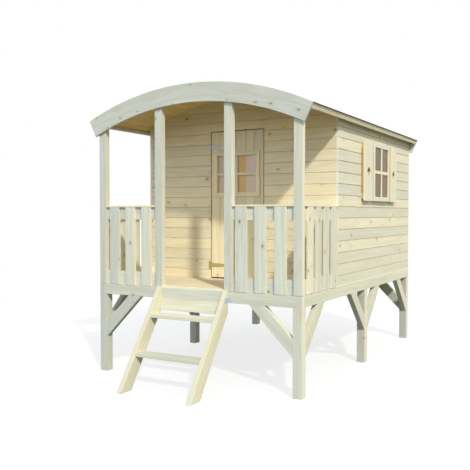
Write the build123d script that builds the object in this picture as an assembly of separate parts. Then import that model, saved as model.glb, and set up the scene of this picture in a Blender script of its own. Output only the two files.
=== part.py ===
from build123d import *
from math import asin, cos, degrees, radians, sin, sqrt
import os

# Raised wooden playhouse cabin on six legs, with a covered porch, a small stair and an arched roof.
# All lengths are in millimetres. X runs across the front, Y runs from front to back, Z is up.
# The construction is laid out with Y = 0 at the front faces of the legs.
# Before export everything is moved so that the origin is the middle of the whole footprint.

# Platform
WIDTH = 1800.0              # across the outer faces of the legs
DEPTH = 2700.0              # front faces of the front legs to back faces of the rear legs
LEG = 70.0                  # square section of a leg
LEG_HEIGHT = 632.0          # ground to the shoulder that carries the beams
MIDDLE_LEG_FRONT = 1325.0   # front face of the middle legs
BEAM_THICK = 45.0
BEAM_HEIGHT = 82.0
BRACE_WIDTH = 88.0          # width of a diagonal brace
BRACE_THICK = 45.0
BRACE_REACH = 347.0         # from the leg to the far end of a brace, along the beam and down the leg
FLOOR_THICK = 16.0
PORCH_DEPTH = 685.0         # front faces of the legs to the cabin's front wall

# Cabin
WALL = 18.0
BOARD_COVER = 89.5          # height that a wall board shows
BOARD_FIRST = 70.0          # height of the lowest wall board
BOARD_CHAMFER = 4.0         # on the outer edges of a wall board
DOOR_WIDTH = 500.0
DOOR_HEIGHT = 1236.0
DOOR_CLEARANCE = 6.0        # running gap around the door
DOOR_SILL = 10.0            # floor to the door's lower edge
DOOR_THICK = 18.0
DOOR_BOARDS = 6             # upright boards side by side
DOOR_CHAMFER = 3.0          # on the front edges of an upright board
LEDGE_HIGH = 70.0           # boards across the back of the door that hold its upright boards
LEDGE_THICK = 16.0
LEDGE_INSET = 30.0          # door's side edge to the end of a ledge
LEDGE_LOW = 170.0           # door's lower edge to the middle of the lowest ledge
LEDGE_MIDDLE = 640.0        # door's lower edge to the middle of the second ledge
LEDGE_DROP = 106.0          # door's top to the middle of the highest ledge

# Porch
POST_WIDTH = 66.0
POST_DEEP = 48.0
ENTRY_WIDTH = 556.0         # clear gap between the two inner posts
RAIL_TOP = 618.0            # floor to the top of the railing cap
CAP_THICK = 15.0
RAIL_HEIGHT = 88.0
RAIL_THICK = 24.0
SLAT_WIDTH = 95.0
SLAT_THICK = 18.0
SLAT_PITCH_FRONT = 157.0
SLAT_PITCH_SIDE = 150.0
SLAT_COUNT_FRONT = 3
SLAT_COUNT_SIDE = 4
SLAT_SHIFT_RIGHT = -13.0    # the right front panel's slats sit off the panel's middle, towards the entry
SLAT_SHIFT_SIDE = 16.0      # the side panels' slats sit off the panel's middle, towards the cabin
SLAT_FOOT = 5.0             # floor to the lower end of the slats
UPPER_RAIL_DROP = 24.0      # top of the cap to the top of the upper rail

# Roof
ROOF_RADIUS = 2313.0        # top of the roof felt
ROOF_TOP = 2256.0           # ground to the crown of the felt
EAVE_OVERHANG = 83.0        # outer faces of the legs to the edge of the roof
FELT_THICK = 3.0
ROOF_BOARD = 18.0
ROOF_BOARD_WIDTH = 88.0     # about the width of a roof board, which runs from front to back
ROOF_CHAMFER = 3.0          # on the lower edges of a roof board
ARCH_BOARD_HIGH = 143.0     # the curved board on the front and on the back, level with the felt
ARCH_BOARD_THICK = 20.0
EAVE_BOARD_HIGH = 24.0      # batten under the edge of the roof boards
EAVE_BOARD_THICK = 30.0
FIT = 0.3                   # gap left where a straight piece meets the curved roof

# Window in the door
DOOR_GLASS_WIDTH = 366.0
DOOR_GLASS_HIGH = 308.0
DOOR_FRAME_BAR = 36.0
DOOR_FRAME_THICK = 16.0
DOOR_GLASS_DROP = 360.0     # door's top to the middle of its window
GLASS_THICK = 4.0
CROSS_BAR = 22.0            # width of the window's cross bars
CROSS_BAR_THICK = 12.0

# Window in the right wall
WINDOW_GLASS_WIDTH = 384.0
WINDOW_GLASS_HIGH = 432.0
WINDOW_BAR = 38.0
WINDOW_DEEP = 36.0          # how far the frame stands out of the wall
WINDOW_GLASS_BACK = 22.0    # wall to the back of the glass, which sits near the front of the frame
WINDOW_CROSS_BAR = 28.0
WINDOW_CROSS_DEEP = 8.0
WINDOW_MIDDLE_Y = 1674.0
WINDOW_DROP = 403.0         # roof boards over the right wall to the middle of the window
SHUTTER_WIDTH = 204.0
SHUTTER_HIGH = 512.0
SHUTTER_THICK = 16.0
SHUTTER_SPACE = 29.0        # window frame to a shutter
SHUTTER_LEDGE = 48.0        # height of the two ledges that hold a shutter off the wall
SHUTTER_LEDGE_THICK = 18.0
SHUTTER_LEDGE_REACH = 236.0 # shutter's middle to the far edge of a ledge
SHUTTER_LEDGE_INSET = 4.0   # shutter's side edge to the end of a ledge
SHUTTER_HOLE_WIDE = 60.0
SHUTTER_HOLE_HIGH = 64.0

# Hinges of the door
HINGE_PIN = 2.5             # radius of the pin
KNUCKLE = 5.0               # outer radius of the knuckles
KNUCKLE_HIGH = 20.0
STRAP_THICK = 2.5
STRAP_LONG = 230.0
STRAP_ROOT = 36.0
STRAP_TIP = 16.0
PLATE_WIDE = 20.0
PLATE_HIGH = 64.0
HINGE_LOW = 104.0           # door's lower edge to the middle of the lower hinge
HINGE_DROP = 128.0          # door's top to the middle of the upper hinge
HINGE_OFFSET = 5.5          # door's face to the hinge axis
PIN_CLEARANCE = 0.05

# Stair
STRINGER_THICK = 36.0
STRINGER_FOOT = 128.0       # length of the cut that stands on the ground
STAIR_SLOPE = 1.48          # rise over run
STRINGER_TOP_DROP = 4.0     # floor to the top of the stringers
STRINGER_TOP = 17.5         # length of the level cut at the top of the stringers
TREAD_THICK = 28.0
TREAD_DROP = 202.0          # floor to the top of the highest tread
TREAD_COUNT = 2
TREAD_BACK = 6.0            # tread's back edge to the stringer's back edge
HANGER_HIGH = 88.0
HANGER_THICK = 20.0
BRACKET_LEG = 34.0          # flange on the beam
BRACKET_SIDE = 50.0         # flange on the stringer
BRACKET_WIDE = 38.0
BRACKET_THICK = 3.0

PAST = 1.0                  # how far a cut runs past the piece that it goes through

# Heights and places that follow from the sizes above
PLATFORM_TOP = LEG_HEIGHT + BEAM_HEIGHT
FLOOR_TOP = PLATFORM_TOP + FLOOR_THICK
HALF = WIDTH / 2
ROOF_CENTRE = ROOF_TOP - ROOF_RADIUS
ROOF_HALF_SPAN = HALF + EAVE_OVERHANG
FELT_INNER = ROOF_RADIUS - FELT_THICK
BOARD_INNER = FELT_INNER - ROOF_BOARD
ROOF_ANGLE = degrees(asin(ROOF_HALF_SPAN / ROOF_RADIUS))
ROOF_FRONT = -ARCH_BOARD_THICK
ROOF_BACK = DEPTH + ARCH_BOARD_THICK
DOOR_BOTTOM = FLOOR_TOP + DOOR_SILL
DOOR_TOP = DOOR_BOTTOM + DOOR_HEIGHT
DOORWAY_HALF = DOOR_WIDTH / 2 + DOOR_CLEARANCE
DOORWAY_TOP = DOOR_TOP + DOOR_CLEARANCE
HINGE_HEIGHTS = {"lower": DOOR_BOTTOM + HINGE_LOW, "upper": DOOR_TOP - HINGE_DROP}
HINGE_X = -DOOR_WIDTH / 2 - DOOR_CLEARANCE / 2
HINGE_Y = PORCH_DEPTH - HINGE_OFFSET
WINDOW_Z = ROOF_CENTRE + sqrt(BOARD_INNER**2 - HALF**2) - WINDOW_DROP
STAIR_TOP = FLOOR_TOP - STRINGER_TOP_DROP
STAIR_REACH = STRINGER_TOP + STAIR_TOP / STAIR_SLOPE    # from the legs' front faces to the foot
Y_SHIFT = (STAIR_REACH - ROOF_BACK) / 2


def block(x0, x1, y0, y1, z0, z1):
    """Plain block between two corners."""
    return Pos((x0 + x1) / 2, (y0 + y1) / 2, (z0 + z1) / 2) * Box(x1 - x0, y1 - y0, z1 - z0)


def prism_x(points, x0, x1):
    """Outline given as (Y, Z) points, drawn out from x0 to x1."""
    face = make_face(Polyline([(x0, y, z) for y, z in points], close=True))
    return extrude(face, amount=x1 - x0, dir=(1, 0, 0))


def prism_y(points, y0, y1):
    """Outline given as (X, Z) points, drawn out from y0 to y1."""
    face = make_face(Polyline([(x, y0, z) for x, z in points], close=True))
    return extrude(face, amount=y1 - y0, dir=(0, 1, 0))


def joint_bar(size, long):
    """Upright square bar set on its corner: cut into a face, it leaves two boards' chamfered edges."""
    return Rot(0, 0, 45) * Box(size * sqrt(2), size * sqrt(2), long)


def roof_cylinder(radius, y0, y1):
    """Full cylinder about the roof's centre line."""
    middle = Pos(0, (y0 + y1) / 2, ROOF_CENTRE) * Rot(90, 0, 0)
    return middle * Cylinder(radius, y1 - y0)


def roof_wedge(angle, y0, y1):
    """Everything within the given angle either side of the crown."""
    reach = 2 * ROOF_RADIUS
    side = reach * sin(radians(angle))
    high = reach * cos(radians(angle))
    outline = [(0, ROOF_CENTRE), (side, ROOF_CENTRE + high), (-side, ROOF_CENTRE + high)]
    return prism_y(outline, y0, y1)


def roof_shell(outer, inner, angle, y0, y1):
    """Curved sheet between two radii."""
    ring = roof_cylinder(outer, y0, y1) - roof_cylinder(inner, y0 - PAST, y1 + PAST)
    return ring & roof_wedge(angle, y0, y1)


def under_roof(piece, y0, y1):
    """Trims the top of a piece to the underside of the roof boards."""
    return piece & roof_cylinder(BOARD_INNER - FIT, y0 - PAST, y1 + PAST)


def leg_places():
    """Name, outer side (-1 left, 1 right) and front face of each leg."""
    rows = (("front", 0.0), ("middle", MIDDLE_LEG_FRONT), ("rear", DEPTH - LEG))
    return [(f"leg_{row}_{side}", sign, y) for row, y in rows for side, sign in (("left", -1), ("right", 1))]


def leg(sign, y, row):
    """Square leg. A corner leg runs on at its outer corner, past the ends of the beams that it carries."""
    inner = sign * (HALF - LEG)
    outer = sign * HALF
    solid = block(min(inner, outer), max(inner, outer), y, y + LEG, 0, LEG_HEIGHT)
    if row == "middle":
        return solid
    x_in = sign * (HALF - BEAM_THICK)
    y_in = y if row == "front" else y + LEG - BEAM_THICK
    horn = block(min(x_in, outer), max(x_in, outer), y_in, y_in + BEAM_THICK, LEG_HEIGHT, PLATFORM_TOP)
    return solid + horn


def brace_outline(start, direction):
    """Diagonal brace in the plane of a beam, cut level under the beam and plumb at the leg."""
    near = BRACE_REACH - BRACE_WIDTH * sqrt(2)
    return [
        (start, LEG_HEIGHT - BRACE_REACH),
        (start + direction * BRACE_REACH, LEG_HEIGHT),
        (start + direction * near, LEG_HEIGHT),
        (start, LEG_HEIGHT - near),
    ]


def cross_braces(y0):
    """Pair of braces between the two legs of one row."""
    inner = HALF - LEG
    left = prism_y(brace_outline(-inner, 1), y0, y0 + BRACE_THICK)
    right = prism_y(brace_outline(inner, -1), y0, y0 + BRACE_THICK)
    return [left, right]


def side_braces(sign):
    """Braces along one side, from each leg to the side beam."""
    x0 = min(sign * HALF, sign * (HALF - BRACE_THICK))
    starts = (
        (LEG, 1),
        (MIDDLE_LEG_FRONT, -1),
        (MIDDLE_LEG_FRONT + LEG, 1),
        (DEPTH - LEG, -1),
    )
    return [prism_x(brace_outline(y, way), x0, x0 + BRACE_THICK) for y, way in starts]


def platform():
    """Legs, braces, beams and floors."""
    parts = {}
    for name, sign, y in leg_places():
        parts[name] = leg(sign, y, name.split("_")[1])
    parts["cross_braces"] = Compound(cross_braces(0) + cross_braces(DEPTH - BRACE_THICK))
    parts["side_braces_left"] = Compound(side_braces(-1))
    parts["side_braces_right"] = Compound(side_braces(1))
    low, high = LEG_HEIGHT, PLATFORM_TOP
    inner = HALF - BEAM_THICK
    parts["beam_front"] = block(-inner, inner, 0, BEAM_THICK, low, high)
    parts["beam_rear"] = block(-inner, inner, DEPTH - BEAM_THICK, DEPTH, low, high)
    parts["beam_left"] = block(-HALF, -inner, BEAM_THICK, DEPTH - BEAM_THICK, low, high)
    parts["beam_right"] = block(inner, HALF, BEAM_THICK, DEPTH - BEAM_THICK, low, high)
    middle = MIDDLE_LEG_FRONT + (LEG - BEAM_THICK) / 2
    parts["beam_middle"] = block(-inner, inner, middle, middle + BEAM_THICK, low, high)
    parts["porch_floor"] = block(-HALF, HALF, 0, PORCH_DEPTH, high, FLOOR_TOP)
    parts["cabin_floor"] = block(-HALF, HALF, PORCH_DEPTH, DEPTH, high, FLOOR_TOP)
    return parts


def post_lefts():
    """Left edge of each porch post, from left to right."""
    return {
        "porch_post_outer_left": -HALF,
        "porch_post_inner_left": -ENTRY_WIDTH / 2 - POST_WIDTH,
        "porch_post_inner_right": ENTRY_WIDTH / 2,
        "porch_post_outer_right": HALF - POST_WIDTH,
    }


def railing_heights():
    """Lower and upper edges of the slats, the lower rail, the upper rail and the cap."""
    top = FLOOR_TOP + RAIL_TOP
    cap = (top - CAP_THICK, top)
    slats = (FLOOR_TOP + SLAT_FOOT, cap[0])
    upper = (top - UPPER_RAIL_DROP - RAIL_HEIGHT, top - UPPER_RAIL_DROP)
    lower = (FLOOR_TOP + SLAT_FOOT, FLOOR_TOP + SLAT_FOOT + RAIL_HEIGHT)
    return slats, lower, upper, cap


def railing_front(x0, x1, slat_shift):
    """Railing panel between two posts: slats in front of two rails, under a flat cap."""
    slats, lower, upper, cap = railing_heights()
    middle = (x0 + x1) / 2 + slat_shift
    first = middle - (SLAT_COUNT_FRONT - 1) * SLAT_PITCH_FRONT / 2 - SLAT_WIDTH / 2
    solid = block(x0, x1, SLAT_THICK, SLAT_THICK + RAIL_THICK, *lower)
    solid += block(x0, x1, SLAT_THICK, SLAT_THICK + RAIL_THICK, *upper)
    solid += block(x0, x1, 0, POST_DEEP, *cap)
    for i in range(SLAT_COUNT_FRONT):
        left = first + i * SLAT_PITCH_FRONT
        solid += block(left, left + SLAT_WIDTH, 0, SLAT_THICK, *slats)
    return solid


def railing_side(sign):
    """Railing panel from the corner post to the cabin."""
    slats, lower, upper, cap = railing_heights()
    y0, y1 = POST_DEEP, PORCH_DEPTH
    middle = (y0 + y1) / 2 + SLAT_SHIFT_SIDE
    first = middle - (SLAT_COUNT_SIDE - 1) * SLAT_PITCH_SIDE / 2 - SLAT_WIDTH / 2

    def layer(depth0, depth1, ya, yb, heights):
        a, b = sign * (HALF - depth0), sign * (HALF - depth1)
        return block(min(a, b), max(a, b), ya, yb, *heights)

    solid = layer(SLAT_THICK, SLAT_THICK + RAIL_THICK, y0, y1, lower)
    solid += layer(SLAT_THICK, SLAT_THICK + RAIL_THICK, y0, y1, upper)
    solid += layer(0, POST_DEEP, y0, y1, cap)
    for i in range(SLAT_COUNT_SIDE):
        front = first + i * SLAT_PITCH_SIDE
        solid += layer(0, SLAT_THICK, front, front + SLAT_WIDTH, slats)
    return solid


def porch():
    """Posts and railings."""
    lefts = post_lefts()
    parts = {}
    for name, x in lefts.items():
        post = block(x, x + POST_WIDTH, 0, POST_DEEP, FLOOR_TOP, ROOF_TOP)
        parts[name] = under_roof(post, 0, POST_DEEP)
    inner_left = lefts["porch_post_inner_left"]
    inner_right = lefts["porch_post_inner_right"]
    parts["railing_front_left"] = railing_front(-HALF + POST_WIDTH, inner_left, 0)
    parts["railing_front_right"] = railing_front(
        inner_right + POST_WIDTH, HALF - POST_WIDTH, SLAT_SHIFT_RIGHT
    )
    parts["railing_left"] = railing_side(-1)
    parts["railing_right"] = railing_side(1)
    return parts


def window_hole():
    """Hole through the right wall for the window."""
    y_half, z_half = WINDOW_GLASS_WIDTH / 2, WINDOW_GLASS_HIGH / 2
    return block(
        HALF - WALL - PAST, HALF + PAST,
        WINDOW_MIDDLE_Y - y_half, WINDOW_MIDDLE_Y + y_half,
        WINDOW_Z - z_half, WINDOW_Z + z_half,
    )


def joint_heights():
    """Heights of the joints between the wall boards, from the lowest up to the roof."""
    lowest = FLOOR_TOP + BOARD_FIRST
    count = int((ROOF_TOP - lowest) / BOARD_COVER) + 1
    return [lowest + i * BOARD_COVER for i in range(count)]


def board_joints_across(y):
    """Joints in the outer face of the front or the rear wall."""
    bar = Rot(0, 90, 0) * joint_bar(BOARD_CHAMFER, WIDTH)
    return [Pos(0, y, z) * bar for z in joint_heights()]


def board_joints_along(x):
    """Joints in the outer face of a side wall."""
    bar = Rot(90, 0, 0) * joint_bar(BOARD_CHAMFER, DEPTH)
    return [Pos(x, (PORCH_DEPTH + DEPTH) / 2, z) * bar for z in joint_heights()]


def walls():
    """Four walls of boards on edge, with the front wall in three panels round the doorway."""
    inner = HALF - WALL
    front, back = PORCH_DEPTH, PORCH_DEPTH + WALL
    low, high = FLOOR_TOP, ROOF_TOP
    front_joints = board_joints_across(front)
    sheets = {
        "front_wall_left": block(-inner, -DOORWAY_HALF, front, back, low, high) - front_joints,
        "front_wall_right": block(DOORWAY_HALF, inner, front, back, low, high) - front_joints,
        "front_wall_top": block(-DOORWAY_HALF, DOORWAY_HALF, front, back, DOORWAY_TOP, high) - front_joints,
        "rear_wall": block(-inner, inner, DEPTH - WALL, DEPTH, low, high) - board_joints_across(DEPTH),
        "left_wall": block(-HALF, -inner, front, DEPTH, low, high) - board_joints_along(-HALF),
        "right_wall": block(inner, HALF, front, DEPTH, low, high) - board_joints_along(HALF) - window_hole(),
    }
    return {name: under_roof(sheet, front, DEPTH) for name, sheet in sheets.items()}


def door_window_box():
    """Lower and upper corners, in X and Z, of the glass in the door."""
    z = DOOR_TOP - DOOR_GLASS_DROP
    return -DOOR_GLASS_WIDTH / 2, DOOR_GLASS_WIDTH / 2, z - DOOR_GLASS_HIGH / 2, z + DOOR_GLASS_HIGH / 2


def frame_ring(width, height, bar, cross, thick, cross_back, cross_thick):
    """Flat frame round a cross of thinner bars, lying in X and Y with its back at Z = 0."""
    on_its_back = (Align.CENTER, Align.CENTER, Align.MIN)
    ring = Box(width + 2 * bar, height + 2 * bar, thick, align=on_its_back)
    ring -= Box(width, height, 2 * (thick + PAST))
    for size in ((width, cross), (cross, height)):
        ring += Pos(0, 0, cross_back) * Box(*size, cross_thick, align=on_its_back)
    return ring


def door_ledges():
    """Boards across the back of the door, clear of the doorway's sides when the door swings."""
    half = DOOR_WIDTH / 2 - LEDGE_INSET
    back = PORCH_DEPTH + DOOR_THICK
    heights = (DOOR_BOTTOM + LEDGE_LOW, DOOR_BOTTOM + LEDGE_MIDDLE, DOOR_TOP - LEDGE_DROP)
    return [
        block(-half, half, back, back + LEDGE_THICK, z - LEDGE_HIGH / 2, z + LEDGE_HIGH / 2)
        for z in heights
    ]


def door_joints():
    """Joints between the upright boards, in the door's front face."""
    pitch = DOOR_WIDTH / DOOR_BOARDS
    bar = joint_bar(DOOR_CHAMFER, DOOR_HEIGHT + PAST)
    middle = (DOOR_BOTTOM + DOOR_TOP) / 2
    return [Pos(i * pitch - DOOR_WIDTH / 2, PORCH_DEPTH, middle) * bar for i in range(1, DOOR_BOARDS)]


def hinge_strap(z):
    """Long tapered strap on the door, ending in the middle knuckle."""
    front = PORCH_DEPTH - STRAP_THICK
    start = HINGE_X + KNUCKLE
    end = start + STRAP_LONG
    outline = [
        (start, z - STRAP_ROOT / 2),
        (end - STRAP_TIP / 2, z - STRAP_TIP / 2),
        (end, z),
        (end - STRAP_TIP / 2, z + STRAP_TIP / 2),
        (start, z + STRAP_ROOT / 2),
    ]
    strap = prism_y(outline, front, PORCH_DEPTH)
    knuckle = Pos(HINGE_X, HINGE_Y, z) * Cylinder(KNUCKLE, KNUCKLE_HIGH)
    tongue = block(HINGE_X, start + KNUCKLE, front, PORCH_DEPTH, z - KNUCKLE_HIGH / 2, z + KNUCKLE_HIGH / 2)
    bore = Pos(HINGE_X, HINGE_Y, z) * Cylinder(HINGE_PIN + PIN_CLEARANCE, KNUCKLE_HIGH + PAST)
    return strap + (knuckle + tongue - bore)


def hinge_plate(z):
    """Upright plate on the wall with the two outer knuckles and the pin through all three."""
    front = PORCH_DEPTH - STRAP_THICK
    right = HINGE_X - KNUCKLE
    plate = block(right - PLATE_WIDE, right, front, PORCH_DEPTH, z - PLATE_HIGH / 2, z + PLATE_HIGH / 2)
    pin_half = KNUCKLE_HIGH / 2 + PIN_CLEARANCE
    for side in (-1, 1):
        middle = z + side * (pin_half + KNUCKLE_HIGH / 2)
        low, high = middle - KNUCKLE_HIGH / 2, middle + KNUCKLE_HIGH / 2
        plate += Pos(HINGE_X, HINGE_Y, middle) * Cylinder(KNUCKLE, KNUCKLE_HIGH)
        plate += block(right - KNUCKLE, HINGE_X, front, PORCH_DEPTH, low, high)
    return plate + Pos(HINGE_X, HINGE_Y, z) * Cylinder(HINGE_PIN, 3 * KNUCKLE_HIGH)


def door():
    """Door leaf with its window, and the two hinges."""
    x0, x1, z0, z1 = door_window_box()
    half = DOOR_WIDTH / 2
    front, back = PORCH_DEPTH, PORCH_DEPTH + DOOR_THICK
    leaf = block(-half, half, front, back, DOOR_BOTTOM, DOOR_TOP) - door_joints()
    leaf -= block(x0, x1, front - PAST, back + PAST, z0, z1)
    frame = frame_ring(
        DOOR_GLASS_WIDTH, DOOR_GLASS_HIGH, DOOR_FRAME_BAR, CROSS_BAR, DOOR_FRAME_THICK, 0, CROSS_BAR_THICK
    )
    middle = ((x0 + x1) / 2, front, (z0 + z1) / 2)
    glass_front = front + (DOOR_THICK - GLASS_THICK) / 2
    parts = {
        "door_leaf": leaf,
        "door_ledges": Compound(door_ledges()),
        "door_window_frame": Pos(*middle) * Rot(90, 0, 0) * frame,
        "door_glass": block(x0, x1, glass_front, glass_front + GLASS_THICK, z0, z1),
    }
    for level, z in HINGE_HEIGHTS.items():
        parts[f"door_strap_{level}"] = hinge_strap(z)
        parts[f"hinge_plate_{level}"] = hinge_plate(z)
    return parts


def shutter(y0):
    """Shutter with a diamond cut through it, held off the wall by two ledges."""
    z = WINDOW_Z
    x0, x1 = HALF + SHUTTER_LEDGE_THICK, HALF + SHUTTER_LEDGE_THICK + SHUTTER_THICK
    board = block(x0, x1, y0, y0 + SHUTTER_WIDTH, z - SHUTTER_HIGH / 2, z + SHUTTER_HIGH / 2)
    low, high = z - SHUTTER_LEDGE_REACH, z + SHUTTER_LEDGE_REACH
    for z0, z1 in ((low, low + SHUTTER_LEDGE), (high - SHUTTER_LEDGE, high)):
        inset = SHUTTER_LEDGE_INSET
        board += block(HALF, x0, y0 + inset, y0 + SHUTTER_WIDTH - inset, z0, z1)
    y = y0 + SHUTTER_WIDTH / 2
    wide, high = SHUTTER_HOLE_WIDE / 2, SHUTTER_HOLE_HIGH / 2
    hole = prism_x([(y - wide, z), (y, z - high), (y + wide, z), (y, z + high)], x0 - PAST, x1 + PAST)
    return board - hole


def side_window():
    """Window in the right wall with a shutter on each side."""
    frame = frame_ring(
        WINDOW_GLASS_WIDTH, WINDOW_GLASS_HIGH, WINDOW_BAR, WINDOW_CROSS_BAR,
        WINDOW_DEEP, WINDOW_GLASS_BACK + GLASS_THICK, WINDOW_CROSS_DEEP,
    )
    y_half, z_half = WINDOW_GLASS_WIDTH / 2, WINDOW_GLASS_HIGH / 2
    side = y_half + WINDOW_BAR + SHUTTER_SPACE
    glass_x = HALF + WINDOW_GLASS_BACK
    return {
        "side_window_frame": Pos(HALF, WINDOW_MIDDLE_Y, WINDOW_Z) * Rot(0, 90, 90) * frame,
        "side_window_glass": block(
            glass_x, glass_x + GLASS_THICK,
            WINDOW_MIDDLE_Y - y_half, WINDOW_MIDDLE_Y + y_half, WINDOW_Z - z_half, WINDOW_Z + z_half,
        ),
        "shutters": Compound([
            shutter(WINDOW_MIDDLE_Y - side - SHUTTER_WIDTH),
            shutter(WINDOW_MIDDLE_Y + side),
        ]),
    }


def eave_board(sign):
    """Batten under the edge of the roof boards, square to them."""
    middle = BOARD_INNER - EAVE_BOARD_HIGH / 2
    bar = Box(EAVE_BOARD_THICK, DEPTH, EAVE_BOARD_HIGH)
    bar = Pos(-sign * EAVE_BOARD_THICK / 2, DEPTH / 2, middle) * bar
    bar = Pos(0, 0, ROOF_CENTRE) * Rot(0, sign * ROOF_ANGLE, 0) * bar
    return under_roof(bar, 0, DEPTH)


def roof_joints():
    """Joints between the roof boards, in their underside."""
    count = round(radians(2 * ROOF_ANGLE) * BOARD_INNER / ROOF_BOARD_WIDTH)
    step = 2 * ROOF_ANGLE / count
    bar = Pos(0, 0, BOARD_INNER) * Rot(90, 0, 0) * joint_bar(ROOF_CHAMFER, DEPTH + PAST)
    axis = Pos(0, DEPTH / 2, ROOF_CENTRE)
    return [axis * Rot(0, i * step - ROOF_ANGLE, 0) * bar for i in range(1, count)]


def roof():
    """Curved boards and felt, with an arched board at each end and a batten along each eave."""
    arch_inner = ROOF_RADIUS - ARCH_BOARD_HIGH
    return {
        "roof_boards": roof_shell(FELT_INNER, BOARD_INNER, ROOF_ANGLE, 0, DEPTH) - roof_joints(),
        "roof_felt": roof_shell(ROOF_RADIUS, FELT_INNER, ROOF_ANGLE, 0, DEPTH),
        "arch_board_front": roof_shell(ROOF_RADIUS, arch_inner, ROOF_ANGLE, ROOF_FRONT, 0),
        "arch_board_rear": roof_shell(ROOF_RADIUS, arch_inner, ROOF_ANGLE, DEPTH, ROOF_BACK),
        "eave_boards": Compound([eave_board(-1), eave_board(1)]),
    }


def stringer_front(z):
    """Y of the stringers' front edge at height z."""
    return z / STAIR_SLOPE - STAIR_REACH


def stringer(x0):
    """Sloping board, cut level at the ground and at the floor and plumb where it meets the beam."""
    foot_back = STRINGER_FOOT - STAIR_REACH
    outline = [
        (-STAIR_REACH, 0),
        (foot_back, 0),
        (0, -foot_back * STAIR_SLOPE),
        (0, STAIR_TOP),
        (-STRINGER_TOP, STAIR_TOP),
    ]
    return prism_x(outline, x0, x0 + STRINGER_THICK)


def tread(top):
    """Level tread between the stringers, from their front edge to just inside their back edge."""
    low = top - TREAD_THICK
    front = stringer_front(top)
    back = stringer_front(low) + STRINGER_FOOT - TREAD_BACK
    half = ENTRY_WIDTH / 2
    outline = [(stringer_front(low), low), (back, low), (back, top), (front, top)]
    return prism_x(outline, -half, half)


def bracket():
    """Bent steel angle that ties the right stringer to the front beam."""
    x = ENTRY_WIDTH / 2 + STRINGER_THICK
    low = LEG_HEIGHT + BRACKET_THICK
    flat = block(x, x + BRACKET_LEG, -BRACKET_THICK, 0, low, low + BRACKET_WIDE)
    side = block(x, x + BRACKET_THICK, -BRACKET_SIDE, 0, low, low + BRACKET_WIDE)
    return flat + side


def stair():
    """Two stringers, two treads, the board under the beam and the bracket."""
    half = ENTRY_WIDTH / 2
    rise = (FLOOR_TOP - TREAD_DROP) / TREAD_COUNT
    tops = [rise * (i + 1) for i in range(TREAD_COUNT)]
    return {
        "stair_stringer_left": stringer(-half - STRINGER_THICK),
        "stair_stringer_right": stringer(half),
        "stair_treads": Compound([tread(top) for top in tops]),
        "stair_hanger": block(-half, half, -HANGER_THICK, 0, LEG_HEIGHT - HANGER_HIGH, LEG_HEIGHT),
        "stair_bracket": bracket(),
    }


def build():
    """Every piece of the playhouse by its name."""
    parts = {}
    for group in (platform, porch, walls, door, side_window, roof, stair):
        parts.update(group())
    return parts


def save(parts):
    """Moves each piece to the common origin and writes it."""
    os.makedirs("parts", exist_ok=True)
    for name, piece in parts.items():
        export_step(piece.moved(Location((0, Y_SHIFT, 0))), f"parts/{name}.step")


save(build())
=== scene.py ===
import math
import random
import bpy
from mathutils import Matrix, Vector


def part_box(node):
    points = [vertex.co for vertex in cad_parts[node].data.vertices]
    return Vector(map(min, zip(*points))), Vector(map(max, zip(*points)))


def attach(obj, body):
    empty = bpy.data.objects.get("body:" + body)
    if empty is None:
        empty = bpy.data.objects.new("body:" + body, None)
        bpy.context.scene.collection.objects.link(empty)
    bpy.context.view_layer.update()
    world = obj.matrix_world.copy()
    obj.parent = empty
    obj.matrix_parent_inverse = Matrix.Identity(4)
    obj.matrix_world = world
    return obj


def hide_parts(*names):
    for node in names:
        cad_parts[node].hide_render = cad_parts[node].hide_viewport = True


bl_info = {
    "name": "Raised Playhouse Cabin",
    "version": (1, 0, 0),
    "blender": (4, 5, 0),
    "location": "View3D > Sidebar > Playhouse",
    "description": "Builds the timber, boards, felt and fittings of a raised playhouse cabin on its frame",
    "category": "Object",
}

import bmesh
import bpy
import numpy as np
from bpy.props import FloatProperty, FloatVectorProperty, IntProperty, PointerProperty
from mathutils import Matrix, Vector

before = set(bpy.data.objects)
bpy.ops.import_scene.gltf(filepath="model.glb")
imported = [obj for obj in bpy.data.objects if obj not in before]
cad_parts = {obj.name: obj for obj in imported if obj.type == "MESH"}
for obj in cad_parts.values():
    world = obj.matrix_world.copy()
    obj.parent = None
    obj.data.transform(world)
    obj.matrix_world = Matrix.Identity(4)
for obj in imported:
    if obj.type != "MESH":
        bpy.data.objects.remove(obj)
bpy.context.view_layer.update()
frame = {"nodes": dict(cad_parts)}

ROOT = "root"
DOOR = "door"
UP = Vector((0, 0, 1))
FELT_STEP = math.radians(1.5)   # turn between two rows of points round the felt
FELT_ROWS = 6           # fewest steps round a felt sheet
MERGE = 1e-5            # metres within which two points of a copied node are one
COPLANAR = math.radians(0.5)    # turn between two faces up to which they are made one
SHARP = math.radians(30)        # turn between two faces from which their edge is sharp
SQUARE = 1.7            # ratio of the spreads across an upright piece below which it counts as square
NEAR_AXIS = 0.96        # share of a direction along a main axis from which it counts as that axis
GRAIN_REACH = 30        # metres within which each board's own grain starts
END_ALONG = 0.2         # square of a face's slope along its board above which it may be the board's end
END_THROUGH = 0.05      # square of its slope through the board below which it is
ROUND_THE_ARCH = np.array(((0, 0, 0), (0, 0, 1), (0, 1, 0)))    # axes of an arched board's edges, as columns
STRAP_SCREWS = (0.3, 0.6, 0.9)  # places of a strap's screws, as shares of its length
HEAD_SIDES = 12         # sides of a screw head; its other sizes are shares of its radius
HEAD_HEIGHT = 0.6
HEAD_RIM = (0.25, 0.12)         # width and rise of the sloping rim
HEAD_FLAT = 0.30                # width of the flat ring inside it
HEAD_RECESS = (0.06, -0.35)     # width and depth of the recess's wall
FLOOR_SIDES = 96
LAMP_AWAY = 4           # distance of a lamp's object along its direction, for show
SKY_TO_RIGHT = (-0.4, 0.9)      # from left to right, where the sky turns from cool to white
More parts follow.
